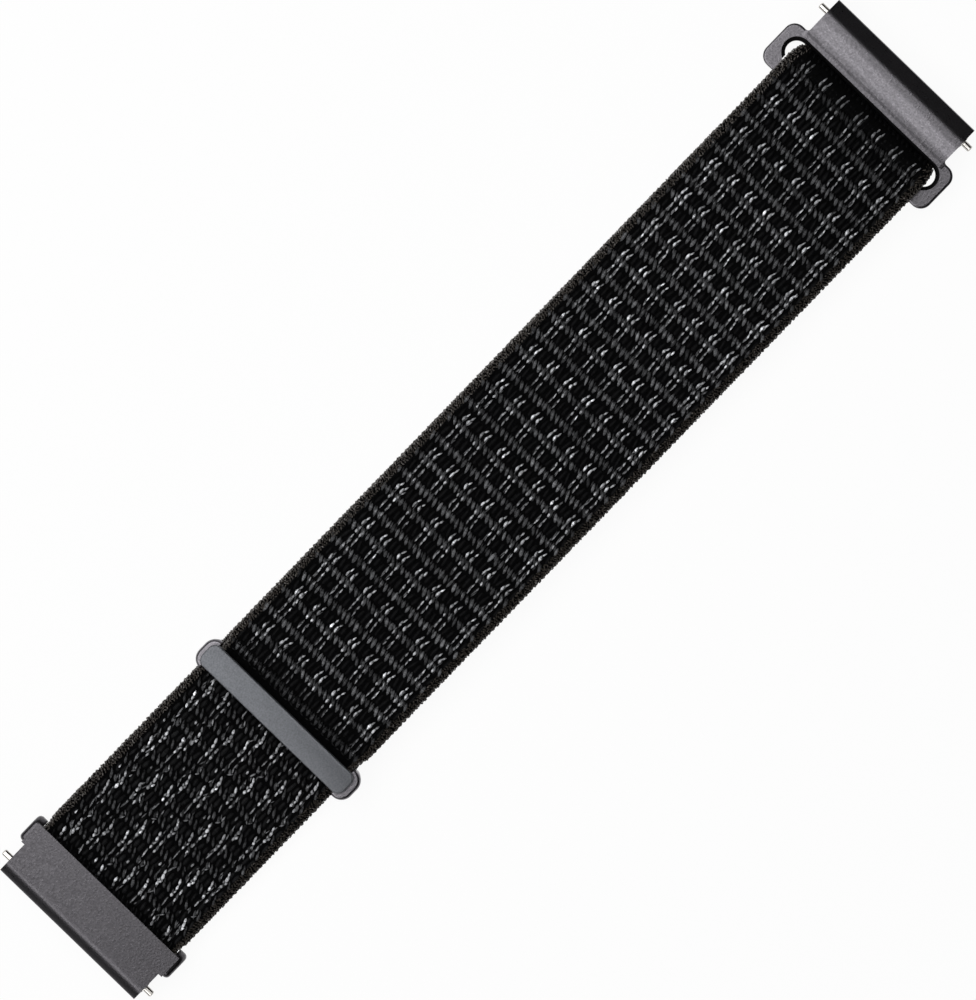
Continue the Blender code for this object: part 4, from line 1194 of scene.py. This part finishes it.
def hook_mesh(name, places, z):
    """Small bent nylon hooks that hang from the tape."""
    line = [(0, 0), (0, -0.12), (0.03, -0.21), (0.10, -0.27), (0.18, -0.25), (0.21, -0.18)]
    radii = [0.06, 0.055, 0.05, 0.045, 0.04, 0.025]
    ring = [(math.cos(a), math.sin(a)) for a in np.linspace(0, 2 * math.pi, 5)[:-1]]
    verts, quads = [], []
    for k, ((px, pz), r) in enumerate(zip(line, radii)):
        near, far = line[max(k - 1, 0)], line[min(k + 1, len(line) - 1)]
        dx, dz = far[0] - near[0], far[1] - near[1]
        size = math.hypot(dx, dz)
        nx, nz = -dz / size, dx / size
        verts += [(px + nx * r * c, r * s, pz + nz * r * c) for c, s in ring]
        if k:
            for i in range(4):
                j = (i + 1) % 4
                quads.append((4 * k - 4 + i, 4 * k - 4 + j, 4 * k + j, 4 * k + i))
    quads += [(3, 2, 1, 0), tuple(4 * (len(line) - 1) + i for i in range(4))]
    verts, quads = np.array(verts), np.array(quads)
    spots = np.array([(x, y, z) for x, y in places])
    points = (verts[None] + spots[:, None]).reshape(-1, 3)
    faces = (quads[None] + (np.arange(len(spots)) * len(verts))[:, None, None]).reshape(-1, 4)
    shape = bpy.data.meshes.new(name)
    shape.from_pydata((points * MM).tolist(), [], faces.tolist())
    shape.shade_smooth()
    return new_object(name, shape)


class STRAP_OT_stitching(StrapOperator, bpy.types.Operator):
    """Sews the two loops with rows of separate stitches"""

    bl_idname = "strap.stitching"
    bl_label = "Stitching"

    def make(self, context):
        upper, lower = upper_route(), lower_route()
        free = Strands(61)
        for column in (-32.55, -31.75):
            s = upper.s_at(column)
            for k in range(-11, 12):
                free.add(s, k * 0.84, 0.62, 0.20, 0.12, 90 + (12 if k % 2 else -12), crest=0.03, seat=-0.08, loose=0.3)
        woven("free_end_stitches", upper, free, "keeper", "thread", "free_end_seam")
        fixed = Strands(62)
        length = FIXED_TAIL_END_X - PIN[0]
        for at in (0.9, length - 2.4):
            for k in range(-11, 12):
                fixed.add(at, k * 0.86, 0.66, 0.24, 0.16, 90, crest=0.08, seat=-0.05, loose=0.3)
        return woven("fixed_end_stitches", lower, fixed, "band", "thread", "fixed_end_seam")


class STRAP_OT_stage(StrapOperator, bpy.types.Operator):
    """Sets the camera, two softboxes, the room light and the floor"""

    bl_idname = "strap.stage"
    bl_label = "Stage"

    def make(self, context):
        scene, look = context.scene, context.scene.strap_stage
        scene.view_settings.view_transform = "Standard"
        target = Vector((0.44, -0.10, 2.0)) * MM
        camera = new_object("camera", bpy.data.cameras.new("camera"))
        camera.data.lens = look.lens
        camera.data.clip_start, camera.data.clip_end = 0.01, 20
        back = Vector((math.sin(look.tilt), 0, math.cos(look.tilt)))
        up = Vector((math.sin(look.roll), math.cos(look.roll), 0))
        camera.matrix_world = aimed(target + back * look.distance, back, up)
        scene.camera = camera

        softbox("overhead_softbox", look.overhead, (0.02, 0.19, 0.38), (0, 0, 1), 0.46, 0.40)
        softbox("side_softbox", look.key, (-0.60, 0.10, 0.66), (-0.64, 0.10, 0.76), 0.40, 0.90)

        world = scene.world or bpy.data.worlds.new("room")
        scene.world = world
        world.use_nodes = True
        tree = world.node_tree
        tree.nodes.clear()
        place_ = add_node(tree, "ShaderNodeTexCoord").outputs["Generated"]
        height = add_node(tree, "ShaderNodeSeparateXYZ", _0=place_).outputs["Z"]
        band = add_node(tree, "ShaderNodeMapRange", interpolation_type="SMOOTHSTEP",
                        _0=height, _1=0.0, _2=0.09, _3=1.0, _4=look.fill)
        room = add_node(tree, "ShaderNodeBackground", _Color=(1, 1, 1, 1), _Strength=band.outputs[0])
        add_node(tree, "ShaderNodeOutputWorld", _0=room.outputs[0])

        floor = block("floor", (-4000, 4000), (-4000, 4000), (-20, -0.22))
        material = bpy.data.materials.new("pale_floor")
        material.use_nodes = True
        tree = material.node_tree
        tree.nodes.clear()
        matte = add_node(tree, "ShaderNodeBsdfDiffuse", _Color=(0.88, 0.88, 0.88, 1))
        glow = add_node(tree, "ShaderNodeEmission", _Color=(1, 1, 1, 1), _Strength=1.0)
        share = math_node(tree, "MULTIPLY", plain_rays(tree), 0.94)
        mix = add_node(tree, "ShaderNodeMixShader", _0=share, _1=matte.outputs[0], _2=glow.outputs[0])
        add_node(tree, "ShaderNodeOutputMaterial", _0=mix.outputs[0])
        floor.data.materials.append(material)
        return floor


def aimed(centre, back, up):
    """A placing whose Z axis is the way back, with up as near to its Y axis as it can be."""
    up = (up - back * up.dot(back)).normalized()
    return Matrix.Translation(centre) @ Matrix((up.cross(back), up, back)).transposed().to_4x4()


def softbox(name, radiance, centre, away, along, over):
    """A rectangular light, in metres, whose back faces away from the strap."""
    data = bpy.data.lights.new(name, "AREA")
    data.shape, data.size, data.size_y = "RECTANGLE", along, over
    data.energy = radiance * math.pi * along * over
    lamp = new_object(name, data)
    lamp.matrix_world = aimed(centre, Vector(away).normalized(), Vector((0, 1, 0)))
    lamp.visible_camera = False


def plain_rays(tree):
    """1 for camera, glossy and transmission rays."""
    path = add_node(tree, "ShaderNodeLightPath").outputs
    first = math_node(tree, "MAXIMUM", path["Is Camera Ray"], path["Is Glossy Ray"])
    return math_node(tree, "MAXIMUM", first, path["Is Transmission Ray"])


OPERATORS = (
    STRAP_OT_webbing_fixed, STRAP_OT_webbing_lower, STRAP_OT_webbing_fold, STRAP_OT_webbing_upper,
    STRAP_OT_webbing_free, STRAP_OT_left_adapter, STRAP_OT_right_adapter, STRAP_OT_keeper,
    STRAP_OT_steel, STRAP_OT_hooks, STRAP_OT_stitching, STRAP_OT_stage,
)
SETTINGS = (("strap_webbing", WebbingSettings), ("strap_metal", MetalSettings), ("strap_stage", StageSettings))


class STRAP_PT_panel(bpy.types.Panel):
    """Lists the strap's settings and pieces"""

    bl_idname = "STRAP_PT_panel"
    bl_label = "Watch strap"
    bl_space_type = "VIEW_3D"
    bl_region_type = "UI"
    bl_category = "Watch strap"

    def draw(self, context):
        for name, group in SETTINGS:
            box = self.layout.box()
            box.label(text=group.__doc__)
            for field in group.__annotations__:
                box.prop(getattr(context.scene, name), field)
        for operator in OPERATORS:
            self.layout.operator(operator.bl_idname)


def register():
    for _, group in SETTINGS:
        bpy.utils.register_class(group)
    for name, group in SETTINGS:
        setattr(bpy.types.Scene, name, bpy.props.PointerProperty(type=group))
    for part in (*OPERATORS, STRAP_PT_panel):
        bpy.utils.register_class(part)


def unregister():
    for part in (STRAP_PT_panel, *reversed(OPERATORS)):
        bpy.utils.unregister_class(part)
    for name, group in SETTINGS:
        delattr(bpy.types.Scene, name)
        bpy.utils.unregister_class(group)


def main():
    register()
    for operator in OPERATORS:
        area, name = operator.bl_idname.split(".")
        getattr(getattr(bpy.ops, area), name)()


if __name__ == "__main__":
    main()
